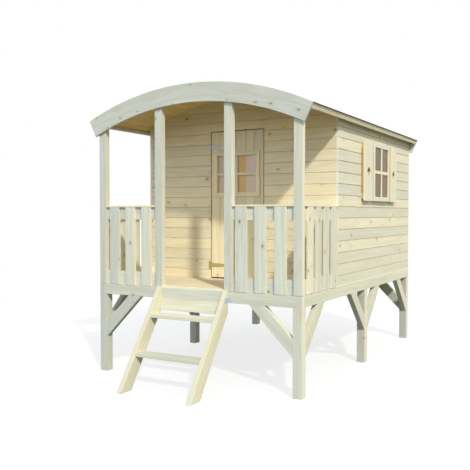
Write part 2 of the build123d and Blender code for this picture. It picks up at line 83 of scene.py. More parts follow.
SKY_TO_BACK = (0.1, 0.8)        # from front to back, where it turns too
WHITE = (1, 1, 1, 1)


def srgb(red, green, blue):
    """Colour as seen on a screen, 0 to 255, turned into the linear values that materials hold."""
    def linear(value):
        share = value / 255
        return share / 12.92 if share <= 0.04045 else ((share + 0.055) / 1.055) ** 2.4
    return (linear(red), linear(green), linear(blue))


def number(name, default, description, **kind):
    return FloatProperty(name=name, default=default, description=description, **kind)


def length(name, default, description):
    return number(name, default, description, unit="LENGTH", precision=4)


def angle(name, degrees, description):
    return number(name, math.radians(degrees), description, unit="ROTATION")


def vector(name, default, description, **kind):
    return FloatVectorProperty(name=name, default=default, description=description, **kind)


def colour(name, default, description):
    return vector(name, default, description, subtype="COLOR", min=0, max=1)


class PlayhouseSizes(bpy.types.PropertyGroup):
    """Sizes of what is modelled on the frame."""
    edge: length("Timber edge", 0.003, "Rounding of the planed timber's edges")
    window_edge: length("Window timber edge", 0.0021, "Rounding of the side window's bars and eave boards")
    door_edge: length("Door window edge", 0.0018, "Rounding of the bars of the door's window")
    board_pitch: length("Board pitch", 0.0895, "Height that one wall board covers")
    first_board: length("First board", 0.070, "Height of the lowest wall board")
    joint: length("Joint chamfer", 0.0045, "Chamfer on the outer edges of a wall board")
    porch_joint: length("Porch joint chamfer", 0.003, "Chamfer on a porch wall board's outer edges")
    door_joint: length("Door joint chamfer", 0.00315, "Chamfer on the outer edges of a door board")
    roof_joint: length("Roof joint chamfer", 0.0036, "Chamfer on the lower edges of a roof board")
    joint_gap: length("Joint gap", 0.0004, "Gap left between two boards")
    floor_board: length("Floor board", 0.096, "Width of a floor board")
    floor_gap: length("Floor gap", 0.002, "Gap between floor boards")
    door_board: length("Door board", 0.0834, "Width of an upright door board")
    roof_board: length("Roof board", 0.088, "Width of a roof board")
    slat_width: length("Slat width", 0.095, "Width of a railing slat")
    slat_thick: length("Slat thickness", 0.018, "Thickness of a railing slat")
    slat_pitch_front: length("Front slat pitch", 0.157, "Middle to middle of the front slats")
    slat_pitch_side: length("Side slat pitch", 0.150, "Middle to middle of the side slats")
    slat_shift_right: length("Right slat shift", -0.013, "Right front slats off the panel's middle")
    slat_shift_side: length("Side slat shift", 0.016, "Side slats off the panel's middle")
    rail_high: length("Rail height", 0.088, "Height of a railing's two rails")
    rail_thick: length("Rail thickness", 0.024, "Thickness of a railing's two rails")
    rail_drop: length("Rail drop", 0.024, "Top of the cap to the top of the upper rail")
    cap_thick: length("Cap thickness", 0.015, "Thickness of the railing's flat cap")
    slats_front: IntProperty(name="Front slats", default=3, description="Slats in a front panel")
    slats_side: IntProperty(name="Side slats", default=4, description="Slats in a side panel")
    roof_radius: length("Roof radius", 2.313, "Radius of the top of the roof felt")
    roof_thick: length("Roof boards", 0.018, "Thickness of the roof boards")
    felt_thick: length("Felt", 0.003, "Thickness of the roof felt")
    felt_lap: length("Felt lap", 0.0022, "Height by which the crown sheet stands on the others")
    felt_crown: length("Crown sheet", 1.0, "Width of the felt sheet over the crown")
    felt_overlap: length("Felt overlap", 0.09, "Width by which the crown sheet covers the others")
    felt_grit: length("Felt grit", 0.0006, "Felt's surface under the nominal radius")
    felt_down: length("Felt turned down", 0.008, "Height of the felt over the edge of the roof boards")
    felt_fold: length("Felt fold", 0.0025, "Thickness of the felt over the edge of the roof boards")
    door_bar: length("Door window bar", 0.036, "Width of the frame round the door's window")
    window_bar: length("Side window bar", 0.038, "Width of the frame round the side window")
    cross_bar: length("Door cross bar", 0.022, "Width of the glazing bars in the door")
    cross_thick: length("Door cross bar depth", 0.012, "Depth of the glazing bars in the door")
    window_cross: length("Window cross bar", 0.028, "Width of the glazing bars in the side window")
    window_cross_deep: length("Window cross depth", 0.008, "Depth of the side window's glazing bars")
    shutter_space: length("Shutter space", 0.029, "Window frame to a shutter")
    shutter_thick: length("Shutter thickness", 0.016, "Thickness of a shutter")
    shutter_ledge: length("Shutter ledge", 0.048, "Height of the ledges behind a shutter")
    shutter_reach: length("Ledge reach", 0.236, "Shutter's middle to the far edge of a ledge")
    ledge_inset: length("Ledge inset", 0.004, "Shutter's side edge to the end of a ledge")
    # Width of the brown strip of painted shade behind each shutter's front edge.
    spacer: length("Spacer", 0.010, "Width of the strip behind a shutter's front edge")
    # Thin brown strip of painted shade on the right shutter's front edge, and the rounding of its edges.
    painted_shade_lip_thickness: length("Shutter lip", 0.003, "Thickness of the strip along a shutter's edge")
    painted_shade_lip_rounding: length("Lip edge", 0.0005, "Rounding of that strip's edges")
    shutter_gap: length("Shutter gap", 0.0012, "Half the gap between a shutter's two boards")
    foot_gap: length("Foot gap", 0.0015, "Gap between the beams and what stands on them")
    notch_gap: length("Notch gap", 0.001, "Gap between the floor boards and the posts and railings")
    hole_wide: length("Diamond width", 0.084, "Width of the diamond hole in a shutter")
    hole_high: length("Diamond height", 0.078, "Height of the diamond hole in a shutter")
    streak_from: length("Streak from", 0.012, "Left edge of the warm streak in the door's glass")
    streak_to: length("Streak to", 0.085, "Right edge of the warm streak in the door's glass")
    steel_edge: length("Steel edge", 0.0006, "Rounding of the edges of hinges and bracket")
    hinge_thick: length("Hinge steel", 0.0025, "Thickness of the straps and plates")
    plate_spread: length("Plate screws", 0.02, "Half the distance between a plate's two screws")
    bracket_thick: length("Bracket steel", 0.003, "Thickness of the bracket")
    bracket_spread: length("Bracket screws", 0.009, "Half the distance between two screws of the bracket")
    bracket_reach: length("Stringer screws", 0.014, "Bracket's front edge to its screws in the stringer")
    screw_inset: length("Screw inset", 0.012, "Side edge of a plate or the bracket to its screws")
    screw: length("Screw head", 0.0032, "Radius of a screw head")


class PlayhouseColours(bpy.types.PropertyGroup):
    """Colours of the finishes."""
    frame: colour("Frame timber", srgb(199, 203, 198), "Legs, beams, braces, posts and arched boards")
    # Lighter copy of the frame timber for the pieces at the sides: painted light for the sun on their
    # right-hand faces.
    frame_side: colour("Side frame timber", srgb(213, 215, 199), "Side beams and side braces")
    railing: colour("Railing timber", srgb(207, 212, 206), "Slats, rails and caps in front")
    # Lighter copy of the railing timber for the panels at the sides: painted light for the sun on their
    # right-hand faces.
    railing_side: colour("Side railing timber", srgb(220, 222, 213), "Slats, rails and caps at the sides")
    stair: colour("Stair timber", srgb(228, 224, 200), "Stringers and the board under the beam")
    side_wall: colour("Side wall boards", srgb(222, 220, 202), "Boards of the side and rear walls")
    # The boards' own colour, made brighter and warmer than the side walls: painted light for the warm bounce
    # inside the porch and for the light its roof shuts out.
    porch_wall: colour("Porch wall boards", srgb(235, 224, 196), "Boards of the front wall and the door")
    floor: colour("Floor boards", srgb(224, 213, 187), "Boards of the porch and cabin floors")
    roof: colour("Roof boards", srgb(240, 210, 148), "Roof boards seen from below")
    window: colour("Window timber", srgb(220, 217, 199), "Window frames and shutters")
    edge: colour("Narrow edges", srgb(248, 228, 180), "Sawn narrow edges of the boards")
    end: colour("Ends", srgb(196, 160, 106), "Sawn ends of the boards")
    frame_edge: colour("Frame edges", srgb(240, 234, 204), "Narrow edges of the frame timber")
    # Darker than the side frame timber: painted shade for the key light that falls straight on the side
    # braces' narrow edges.
    frame_side_edge: colour("Side frame edges", srgb(212, 200, 180), "Narrow edges of the side braces")
    floor_edge: colour("Floor edge", srgb(222, 219, 196), "Front edge of the porch floor")
    porch_edge: colour("Porch wall edges", srgb(234, 192, 132), "Narrow edges of the porch wall and the door")
    porch_end: colour("Porch wall ends", srgb(222, 160, 96), "Sawn ends of the porch wall's boards")
    wall_end: colour("Side wall ends", srgb(238, 234, 220), "Sawn ends of the side walls' boards")
    tread: colour("Treads", srgb(214, 216, 204), "Treads of the stair")
    hanger: colour("Hanger", srgb(216, 216, 202), "Board under the front beam")
    # Brown of the strips behind and on the shutters' front edges: painted shade for the shaded gap behind the
    # shutters.
    spacer: colour("Spacers", srgb(198, 150, 92), "Strips behind the shutters' front edges")
    # Darker than the stair timber: painted shade for the key light that falls most on the stringers'
    # upward-facing narrow edges; the hanger and treads share it.
    stair_edge: colour("Stringer edges", srgb(202, 198, 177), "Narrow edges of the stringers")
    felt: colour("Roof felt", srgb(70, 74, 68), "Mineral side of the roof felt")
    # Side glass is darkened as painted shade for the sun on that pane; door glass is lightened as painted
    # light for the shade on the door's pane.
    glass: colour("Side glass", srgb(129, 107, 70), "Tint of the panes in the side window")
    door_glass: colour("Door glass", srgb(246, 222, 200), "Tint of the panes in the door")
    door_streak: colour("Door glass streak", srgb(255, 218, 150), "Light that falls through the door's panes")
    blue_zinc: colour("Blue zinc", srgb(178, 179, 176), "Upper hinge")
    bracket_zinc: colour("Bracket zinc", srgb(196, 200, 216), "Bracket of the stair")
    yellow_zinc: colour("Yellow zinc", srgb(196, 184, 120), "Lower hinge")
    screw: colour("Screws", srgb(188, 186, 176), "Screw heads")


class PlayhouseStudio(bpy.types.PropertyGroup):
    """Camera, light and floor."""
    camera_place: vector("Camera", (2.7507, -5.2787, 1.2821), "Place of the camera", unit="LENGTH")
    camera_turn: angle("Turn", 29.69, "Camera's turn about the upright")
    camera_tilt: angle("Tilt", 88.18, "Camera's tilt from straight down")
    lens: number("Lens", 50.92, "Focal length in millimetres")
    sensor: number("Sensor", 36, "Width of the camera's sensor in millimetres")
    sun_from: vector("Key light", (1.1, -1.0, 1.18), "Direction that the key light comes from")
    sun_power: number("Key power", 3.1, "Power of the key light")
    sun_soft: angle("Key softness", 3, "Angle of the key light")
    sun_colour: colour("Key colour", (1.0, 0.97, 0.90), "Colour of the key light")
    fill_from: vector("Fill light", (-0.1, -1.0, 0.14), "Direction that the soft fill comes from")
    fill_power: number("Fill power", 0.88, "Power of the soft fill")
    fill_soft: angle("Fill softness", 50, "Angle of the soft fill")
    fill_colour: colour("Fill colour", (0.88, 0.95, 1.0), "Colour of the soft fill")
    sky_left: colour("Sky on the left", (0.52, 0.58, 0.68), "Light from all round on the left")
    sky_right: colour("Sky on the right", (1.0, 1.0, 1.0), "Light from all round on the right and behind")
    ground: colour("Ground", (0.90, 0.90, 0.89), "Pale floor")
    ground_bounce: colour("Ground bounce", (0.13, 0.145, 0.12), "Floor's colour as it lights the object")
    ground_glow: number("Ground glow", 0.78, "Share of plain white in the seen floor", subtype="FACTOR")
    ground_clear: length("Clear floor", 2.2, "Middle to where the floor starts to fade to white")
    ground_white: length("White floor", 5.0, "Middle to where the floor is plain white")
    ground_reach: length("Floor reach", 40.0, "Radius of the floor")


def sizes():
    return bpy.context.scene.playhouse_sizes


def colours():
    return bpy.context.scene.playhouse_colours


def studio():
    return bpy.context.scene.playhouse_studio


# Selecting and shaping

def activate(piece):
    """Selects one object alone, in object mode."""
    if bpy.context.mode != "OBJECT":
        bpy.ops.object.mode_set(mode="OBJECT")
    bpy.ops.object.select_all(action="DESELECT")
    piece.select_set(True)
    bpy.context.view_layer.objects.active = piece


def deselect():
    bpy.ops.object.select_all(action="DESELECT")


def add_block(name, low, high):
    """Cube between two corners, with its place in its mesh."""
    deselect()
    low, high = Vector(low), Vector(high)
    bpy.ops.mesh.primitive_cube_add(size=1, location=(low + high) / 2, scale=high - low)
    piece = bpy.context.active_object
    piece.name = name
    bpy.ops.object.transform_apply(location=True, rotation=True, scale=True)
    return piece


def shape_edges(piece, chosen, offset, segments=1):
    """Bevels in edit mode the edges whose two end points pass the test."""
    activate(piece)
    bpy.ops.object.mode_set(mode="EDIT")
    bpy.ops.mesh.select_mode(type="EDGE")
    bpy.ops.mesh.select_all(action="DESELECT")
    mesh = bmesh.from_edit_mesh(piece.data)
    for edge in mesh.edges:
        edge.select_set(chosen(*(vertex.co for vertex in edge.verts)))
    bmesh.update_edit_mesh(piece.data)
    bpy.ops.mesh.bevel(offset=offset, segments=segments, affect="EDGES")
    bpy.ops.object.mode_set(mode="OBJECT")


def cut_off(piece, point, normal):
    """Cuts the side that the normal points to from a piece and closes it."""
    activate(piece)
    bpy.ops.object.mode_set(mode="EDIT")
    bpy.ops.mesh.select_all(action="SELECT")
    bpy.ops.mesh.bisect(plane_co=point, plane_no=normal, use_fill=True, clear_outer=True)
    bpy.ops.object.mode_set(mode="OBJECT")


def apply_modifier(piece, kind, **settings):
    """Adds a modifier, sets it and applies it."""
    activate(piece)
    modifier = piece.modifiers.new(kind.lower(), kind)
    for key, value in settings.items():
        setattr(modifier, key, value)
    bpy.ops.object.modifier_apply(modifier=modifier.name)


def repeat(piece, count, step):
    """Makes a row of copies of a piece, a step apart."""
    apply_modifier(
        piece, "ARRAY", count=count, use_relative_offset=False,
        use_constant_offset=True, constant_offset_displace=step,
    )


def round_edges(piece, width, segments=2):
    """Rounds every sharp edge."""
    apply_modifier(
        piece, "BEVEL", width=width, segments=segments, limit_method="ANGLE", angle_limit=SHARP
    )


def rounded_block(name, low, high, width=None):
    piece = add_block(name, low, high)
    shape_edges(piece, lambda first, second: True, sizes().edge if width is None else width, 2)
    return piece


def nodes_called(*starts):
    """Names of the nodes that start with one of these words, in order."""
    return [node for node in sorted(frame["nodes"]) if node.startswith(starts)]


def copy_of_node(name, node):
    """Copy of a node with its points merged and its flat faces joined."""
    deselect()
    piece = bpy.data.objects.new(name, frame["nodes"][node].data.copy())
    bpy.context.scene.collection.objects.link(piece)
    piece.data.materials.clear()
    activate(piece)
    bpy.ops.mesh.customdata_custom_splitnormals_clear()
    bpy.ops.object.mode_set(mode="EDIT")
    bpy.ops.mesh.select_all(action="SELECT")
    bpy.ops.mesh.remove_doubles(threshold=MERGE)
    bpy.ops.mesh.dissolve_limited(angle_limit=COPLANAR)
    bpy.ops.object.mode_set(mode="OBJECT")
    return piece


def rounded_copy(node, ending="_timber", width=None, segments=2):
    """Copy of a node, named after it, with its sharp edges rounded."""
    piece = copy_of_node(node + ending, node)
    round_edges(piece, sizes().edge if width is None else width, segments)
    return piece


def trim(piece, tool, operation="INTERSECT"):
    """Keeps what lies inside the tool, or takes the tool away, and removes the tool."""
    apply_modifier(piece, "BOOLEAN", object=tool, operation=operation, solver="EXACT")
    bpy.data.objects.remove(tool)


def moved_copy(piece, matrix):
    """Copy of a piece with a mesh of its own, moved by a matrix."""
    copy = piece.copy()
    copy.data = piece.data.copy()
    copy.data.transform(matrix)
    bpy.context.scene.collection.objects.link(copy)
    return copy


def join(name, pieces):
    """Joins several pieces into one."""
    activate(pieces[0])
    for piece in pieces:
        piece.select_set(True)
    bpy.ops.object.join()
    piece = bpy.context.active_object
    piece.name = name
    return piece


# Grain

def points_of(mesh):
    values = np.zeros(len(mesh.vertices) * 3, np.float32)
    mesh.vertices.foreach_get("co", values)
    return values.reshape(-1, 3).astype(float)


def boards_of(mesh):
    """Number of the board that each point belongs to: points joined by edges are one board."""
    label = np.arange(len(mesh.vertices))
    ends = np.zeros(len(mesh.edges) * 2, np.int32)
    mesh.edges.foreach_get("vertices", ends)
    first, second = ends.reshape(-1, 2).T
    while True:
        lowest = np.minimum(label[first], label[second])
        new = label.copy()
        np.minimum.at(new, first, lowest)
        np.minimum.at(new, second, lowest)
        new = new[new]
        if (new == label).all():
            return label
        label = new


def board_axes(points):
    """Directions along, across and through a board, the nearest main directions where they are close."""
    spread, axes = np.linalg.eigh(points.T @ points)
    axes = axes[:, ::-1]
    if abs(axes[2, 0]) > NEAR_AXIS and spread[1] < SQUARE * spread[0]:
        return np.eye(3)[:, (2, 0, 1)]
    for i in range(3):
        top = np.abs(axes[:, i]).argmax()
        axes[:, i] *= np.sign(axes[top, i])
    largest = np.abs(axes).argmax(axis=0)
    if (np.abs(axes).max(axis=0) > NEAR_AXIS).all() and len(set(largest)) == 3:
        return np.eye(3)[:, largest]
    return axes


def first_joint():
    """Height of the top of the lowest wall board."""
    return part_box("left_wall")[0].z + sizes().first_board


def course_place(centre):
    """Number of the course of wall boards at a place, and the middle of that course."""
    pitch = sizes().board_pitch
    first = first_joint()
    course = math.floor((centre[2] - first) / pitch)
    return course, np.array((0, 0, first + (course + 0.5) * pitch))


def mark_grain(piece, spread=None, courses=""):
    """Writes metres along, across and through each board, from a place of its own, and a tone for it.

    The edge attribute is 1 on a board's narrow edges, 0 on its wide faces and -1 on its ends.
    Boards of the same courses run on from one piece to the next.
    """
    mesh = piece.data
    points = points_of(mesh)
    label = boards_of(mesh)
    draw = random.Random(piece.name)
    grain = np.zeros_like(points)
    tone = np.zeros(len(points))
    axes = {}
    centres = {board: points[label == board].mean(axis=0) for board in np.unique(label)}
    for board in sorted(centres, key=lambda board: tuple(np.round(centres[board], 3))):
        mine = label == board
        around = points[mine] - centres[board]
        axes[board] = ROUND_THE_ARCH if spread else board_axes(around)
        if courses:
            course, middle = course_place(centres[board])
            draw = random.Random(f"{courses} {course}")
            around = points[mine] - middle
        grain[mine] = spread(points[mine]) if spread else around @ axes[board]
        grain[mine] += [draw.uniform(0, GRAIN_REACH) for _ in range(3)]
        tone[mine] = draw.random()
    edge = np.zeros(len(mesh.polygons))
    for face in mesh.polygons:
        along, across, through = np.array(face.normal) @ axes[label[face.vertices[0]]]
        edge[face.index] = -1 if along**2 > END_ALONG and through**2 < END_THROUGH else across**2
    mesh.attributes.new("grain", "FLOAT_VECTOR", "POINT").data.foreach_set("vector", grain.ravel())
    mesh.attributes.new("board", "FLOAT", "POINT").data.foreach_set("value", tone)
    mesh.attributes.new("edge", "FLOAT", "FACE").data.foreach_set("value", edge)


def round_the_arch(points):
    """Grain that follows the arch: along the curve, across it, and from front to back."""
    centre = roof_centre()
    across, high = points[:, 0], points[:, 2] - centre
    radius = np.hypot(across, high)
    along = np.arctan2(across, high) * sizes().roof_radius
    return np.stack([along, radius, points[:, 1]], axis=1)


def roof_centre():
    """Height of the line that the roof is curved about."""
    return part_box("roof_felt")[1].z - sizes().roof_radius


def turn_round_roof(turn):
    """Turn about the line that the roof is curved about."""
    pivot = Matrix.Translation((0, 0, roof_centre()))
    return pivot @ Matrix.Rotation(turn, 4, "Y") @ pivot.inverted()


def finish(piece, finish_material, nodes=(), body=ROOT, spread=None, grain=True, courses=""):
    """Gives a piece its material and grain, ties it to its body and hides the nodes that it replaces."""
    piece.data.materials.clear()
    piece.data.materials.append(finish_material)
    if grain:
        mark_grain(piece, spread, courses)
    activate(piece)
    bpy.ops.object.shade_smooth_by_angle(angle=SHARP)
    apply_modifier(piece, "WEIGHTED_NORMAL", keep_sharp=True)
    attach(piece, body)
    if nodes:
        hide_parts(*nodes)
    return piece


# Materials

class Graph:
    """Places and joins the nodes of one material or of the world."""

    def __init__(self, owner):
        owner.use_nodes = True
        self.tree = owner.node_tree
        self.tree.nodes.clear()

    def node(self, kind, inputs=None, **settings):
        made = self.tree.nodes.new(kind)
        for key, value in settings.items():
            setattr(made, key, value)
        for key, value in (inputs or {}).items():
            if isinstance(value, bpy.types.NodeSocket):
                self.tree.links.new(value, made.inputs[key])
            else:
                made.inputs[key].default_value = value
        return made

    def math(self, operation, first, second=0.0, clamp=False):
        made = self.node("ShaderNodeMath", {0: first, 1: second}, operation=operation, use_clamp=clamp)
        return made.outputs[0]

    def fade(self, value, start, end, low=0.0, high=1.0):
        """Goes smoothly from low to high while the value goes from start to end."""
        inputs = {"Value": value, "From Min": start, "From Max": end, "To Min": low, "To Max": high}
        return self.node("ShaderNodeMapRange", inputs, interpolation_type="SMOOTHSTEP").outputs["Result"]

    def stretched(self, vector, scale):
        return self.node("ShaderNodeMapping", {"Vector": vector, "Scale": scale}).outputs["Vector"]

    def noise(self, vector, scale, detail=2.0, roughness=0.5):
        inputs = {"Vector": vector, "Scale": scale, "Detail": detail, "Roughness": roughness}
        return self.node("ShaderNodeTexNoise", inputs).outputs["Fac"]

    def mix(self, share, first, second, mode="MIX"):
        made = self.node("ShaderNodeMix", data_type="RGBA", blend_type=mode)
        for index, value in ((0, share), (6, first), (7, second)):
            if isinstance(value, bpy.types.NodeSocket):
                self.tree.links.new(value, made.inputs[index])
            else:
                made.inputs[index].default_value = value
        return made.outputs[2]

    def bump(self, height, strength, distance):
        inputs = {"Height": height, "Strength": strength, "Distance": distance}
        return self.node("ShaderNodeBump", inputs).outputs["Normal"]

    def surface(self, shader):
        self.node("ShaderNodeOutputMaterial", {"Surface": shader})


def seen(graph):
    """1 where the camera, a reflection or a pane looks, and 0 for light on its way to the object."""
    rays = graph.node("ShaderNodeLightPath").outputs
    direct = graph.math("MAXIMUM", rays["Is Camera Ray"], rays["Is Glossy Ray"])
    return graph.math("MAXIMUM", direct, rays["Is Transmission Ray"])


def tinted(base, red, green, blue):
    """Colour with each part scaled, as a node socket takes it."""
    return (base[0] * red, base[1] * green, base[2] * blue, 1.0)


def made_once(name, build, *values):
    """The material of that name, built the first time that it is asked for."""
    found = bpy.data.materials.get(name)
    if found:
        return found
    made = bpy.data.materials.new(name)
    build(Graph(made), *values)
    return made


def build_wood(graph, base, look):
    """Planed softwood: wavy growth lines that bend round knots, fine fibres and a tone for each board."""
    grain = graph.node("ShaderNodeAttribute", attribute_name="grain").outputs["Vector"]
    board = graph.node("ShaderNodeAttribute", attribute_name="board").outputs["Fac"]
    edge = graph.node("ShaderNodeAttribute", attribute_name="edge").outputs["Fac"]
    flat = graph.stretched(grain, (5.5, 9.0, 0.0))
    cells = graph.node("ShaderNodeTexVoronoi", {"Vector": flat, "Scale": 1.0}, voronoi_dimensions="2D")
    away = graph.math("MULTIPLY", cells.outputs["Distance"], 0.125)
    pick = graph.node("ShaderNodeSeparateColor", {"Color": cells.outputs["Color"]})
    present = graph.math("LESS_THAN", pick.outputs[0], look["knots"])
    radius = graph.math("ADD", graph.math("MULTIPLY", pick.outputs[1], 0.007), 0.0035)
    relative = graph.math("DIVIDE", away, radius)
    ragged = graph.math("ADD", relative, graph.math("MULTIPLY", graph.noise(grain, 110, 3), 0.9))
    knot = graph.math("MULTIPLY", graph.fade(ragged, 1.1, 1.8, 1.0, 0.0), present)
    halo = graph.math("MULTIPLY", graph.fade(ragged, 1.3, 4.5, 1.0, 0.0), present)
    slow = graph.noise(graph.stretched(grain, (0.55, 7.0, 7.0)), 1.0, 2, 0.45)
    phase = graph.math("ADD", graph.math("MULTIPLY", slow, 26.0), graph.math("MULTIPLY", halo, 3.0))
    lines = graph.fade(graph.math("PINGPONG", phase, 1.0), 0.25, 1.0)
    streaks = graph.fade(graph.noise(graph.stretched(grain, (0.9, 38.0, 38.0)), 1.0, 3, 0.6), 0.36, 0.66)
    fibres = graph.noise(graph.stretched(grain, (9.0, 700.0, 700.0)), 1.0, 3, 0.6)
    cloud = graph.fade(graph.noise(graph.stretched(grain, (1.6, 5.0, 5.0)), 1.0, 3), 0.3, 0.7)
    light = tinted(base, 1.07, 1.06, 1.04)
    late = tinted(base, 0.84, 0.79, 0.66)
    cool = tinted(base, 0.95, 0.985, 1.02)
    warm = tinted(base, 1.03, 0.985, 0.85)
    body = graph.mix(board, cool, warm)
    body = graph.mix(graph.math("MULTIPLY", cloud, 0.45), body, light)
    body = graph.mix(graph.math("MULTIPLY", streaks, look["streaks"]), body, late)
    body = graph.mix(graph.math("MULTIPLY", lines, look["lines"]), body, late)
    body = graph.mix(graph.math("MULTIPLY", fibres, look["lines"] * 0.5), body, late)
    body = graph.mix(graph.math("MULTIPLY", halo, 0.42), body, tinted(base, 0.81, 0.67, 0.47))
    body = graph.mix(graph.math("MULTIPLY", knot, 0.78), body, tinted(base, 0.40, 0.31, 0.20))
    body = graph.mix(graph.fade(edge, 0.6, 1.0, 0.0, look["edge_share"]), body, (*look["edge"], 1))
    body = graph.mix(graph.fade(edge, 0.0, -1.0, 0.0, look["end_share"]), body, (*look["end"], 1))
    joint = graph.math("MULTIPLY", graph.fade(edge, 0.3, 0.5), graph.fade(edge, 0.5, 0.7, 1.0, 0.0))
    joint = graph.math("MULTIPLY", joint, look["joint_share"])
    body = graph.mix(joint, body, tinted(base, 0.76, 0.60, 0.36))
    shade = graph.fade(board, 0.0, 1.0, 1.0 - look["tones"], 1.0)
    grey = graph.node("ShaderNodeCombineColor", {0: shade, 1: shade, 2: shade}).outputs["Color"]
    body = graph.mix(1.0, body, grey, "MULTIPLY")
    height = graph.math("ADD", graph.math("MULTIPLY", lines, 0.35), graph.math("MULTIPLY", fibres, 0.5))
    height = graph.math("SUBTRACT", height, graph.math("MULTIPLY", knot, 0.4))
    rough = graph.fade(fibres, 0.2, 0.8, 0.55, 0.75)
    shader = graph.node("ShaderNodeBsdfPrincipled", {
        "Base Color": body, "Roughness": rough, "Specular IOR Level": 0.3,
        "Normal": graph.bump(height, 0.35, 0.0008),
    })
    graph.surface(shader.outputs[0])


def wood(name, base, edge="edge", end="end", **look):
    """Softwood in three named colours, of its faces, narrow edges and ends, and how strong its marks are."""
    usual = {
        "knots": 0.16, "lines": 0.36, "streaks": 0.30, "tones": 0.10,
        "joint_share": 0.0, "edge_share": 0.3, "end_share": 0.55,
    }
    base, edge, end = (tuple(getattr(colours(), part)) for part in (base, edge, end))
    return made_once(name, build_wood, base, {**usual, **look, "edge": edge, "end": end})


def build_felt(graph, base):
    """Mineral roof felt: coloured grit with bare specks."""
    place = graph.node("ShaderNodeTexCoord").outputs["Object"]
    grit = graph.node("ShaderNodeTexVoronoi", {"Vector": place, "Scale": 420.0})
    speck = graph.node("ShaderNodeSeparateColor", {"Color": grit.outputs["Color"]}).outputs[0]
    cloud = graph.noise(place, 2.2, 4)
    body = graph.mix(speck, tinted(base, 0.70, 0.70, 0.70), tinted(base, 1.5, 1.5, 1.45))
    body = graph.mix(graph.fade(cloud, 0.35, 0.75, 0.0, 0.35), body, tinted(base, 0.62, 0.66, 0.60))
    shader = graph.node("ShaderNodeBsdfPrincipled", {
        "Base Color": body, "Roughness": graph.fade(speck, 0.0, 1.0, 0.85, 0.97),
        "Normal": graph.bump(speck, 0.5, 0.0012),
    })
    graph.surface(shader.outputs[0])


def build_zinc(graph, base, metallic):
    """Zinc plated steel: faint rolling marks and a cloudy sheen."""
    place = graph.node("ShaderNodeTexCoord").outputs["Object"]
    brushed = graph.noise(graph.stretched(place, (30.0, 30.0, 900.0)), 1.0, 2)
    cloud = graph.noise(place, 55.0, 3)
    body = graph.mix(graph.fade(cloud, 0.35, 0.7), tinted(base, 1, 1, 1), tinted(base, 0.78, 0.80, 0.84))
    shader = graph.node("ShaderNodeBsdfPrincipled", {
        "Base Color": body, "Metallic": metallic, "Roughness": graph.fade(cloud, 0.2, 0.8, 0.34, 0.50),
        "Normal": graph.bump(brushed, 0.12, 0.0003),
    })
    graph.surface(shader.outputs[0])


def build_glass(graph, base, streak):
    """Thin pane: see-through with a tint that paints the light on the pane, faint waves, a clear reflection
    and a painted streak of warm light.
    """
    place = graph.node("ShaderNodeTexCoord").outputs["Object"]
    waves = graph.noise(place, 3.5, 1)
    body = graph.mix(graph.fade(waves, 0.3, 0.7), tinted(base, 1, 1, 1), tinted(base, 0.93, 0.93, 0.95))
    if streak:
        tint, start, end = streak
        across = graph.node("ShaderNodeSeparateXYZ", {"Vector": place}).outputs[0]
        soft = (end - start) / 8
        share = graph.math("MULTIPLY", graph.fade(across, start, start + soft),
                           graph.fade(across, end - soft, end, 1.0, 0.0))
        body = graph.mix(share, body, (*tint, 1))
    shader = graph.node("ShaderNodeBsdfPrincipled", {
        "Base Color": body, "Roughness": 0.06, "Alpha": 0.62, "Normal": graph.bump(waves, 0.05, 0.004),
    })
    graph.surface(shader.outputs[0])


def zinc(name, base, metallic=0.5):
    return made_once(name, build_zinc, tuple(base), metallic)


def frame_wood():
    return wood(
        "frame timber", "frame", edge="frame_edge", knots=0.22, lines=0.45, streaks=0.50, tones=0.12,
        edge_share=0.5,
    )


# Frame timber for the side beams and braces, lighter than the frame timber as painted sunlight on their
# right-hand faces.
def painted_light_frame_wood():
    # Its narrow edges are darkened as painted shade.
    return wood(
        "side frame timber", "frame_side", edge="frame_side_edge", knots=0.22, lines=0.45, streaks=0.50,
        tones=0.12, edge_share=0.5,
    )


def arch_wood():
    return wood("arched board timber", "frame", knots=0.6, lines=0.55, streaks=0.60, edge_share=0.5)


def railing_wood():
    return wood("railing timber", "railing", knots=0.2, lines=0.45, streaks=0.50, tones=0.12, edge_share=0.65)


# Railing timber for the side panels, lighter than the front railing timber as painted sunlight on their
# right-hand faces.
def painted_light_railing_wood():
    return wood(
        "side railing timber", "railing_side", knots=0.2, lines=0.45, streaks=0.50, tones=0.12,
        edge_share=0.65,
    )


# Stair, hanger and tread timbers darken their narrow edges with this edge colour, as painted shade.
def stair_wood():
    return wood("stair timber", "stair", edge="stair_edge", knots=0.10, edge_share=0.9)


def hanger_wood():
    return wood("hanger timber", "hanger", edge="stair_edge", knots=0.12, edge_share=0.9)


def tread_wood():
    return wood("tread timber", "tread", edge="stair_edge", knots=0.12, edge_share=0.6)


def side_wall_wood():
    return wood(
        "side wall boards", "side_wall", end="wall_end", knots=0.16, lines=0.38, tones=0.12,
        joint_share=0.5, end_share=0.8,
    )


# Timber for the front wall and the door, whose brightness and warmth are partly painted bounce light.
def porch_wall_wood_with_painted_bounce():
    return wood(
        "porch wall boards", "porch_wall", edge="porch_edge", end="porch_end", knots=0.2,
        joint_share=0.25, edge_share=0.5, end_share=0.85,
    )


def floor_wood():
    return wood(
        "floor boards", "floor", edge="floor_edge", end="side_wall", knots=0.10, lines=0.28, tones=0.05,
        edge_share=0.95, end_share=0.95,
    )


def roof_wood():
    return wood("roof boards", "roof", edge="frame_edge", knots=0.14, edge_share=0.8)


def window_wood():
    return wood("window timber", "window", knots=0.03, lines=0.24, tones=0.04, end_share=0.85)


# Plain brown timber for the strips of painted shade by the shutters.
def painted_shade_wood():
    return wood("spacer timber", "spacer", knots=0.0, edge_share=0.0, end_share=0.0)


# Screws

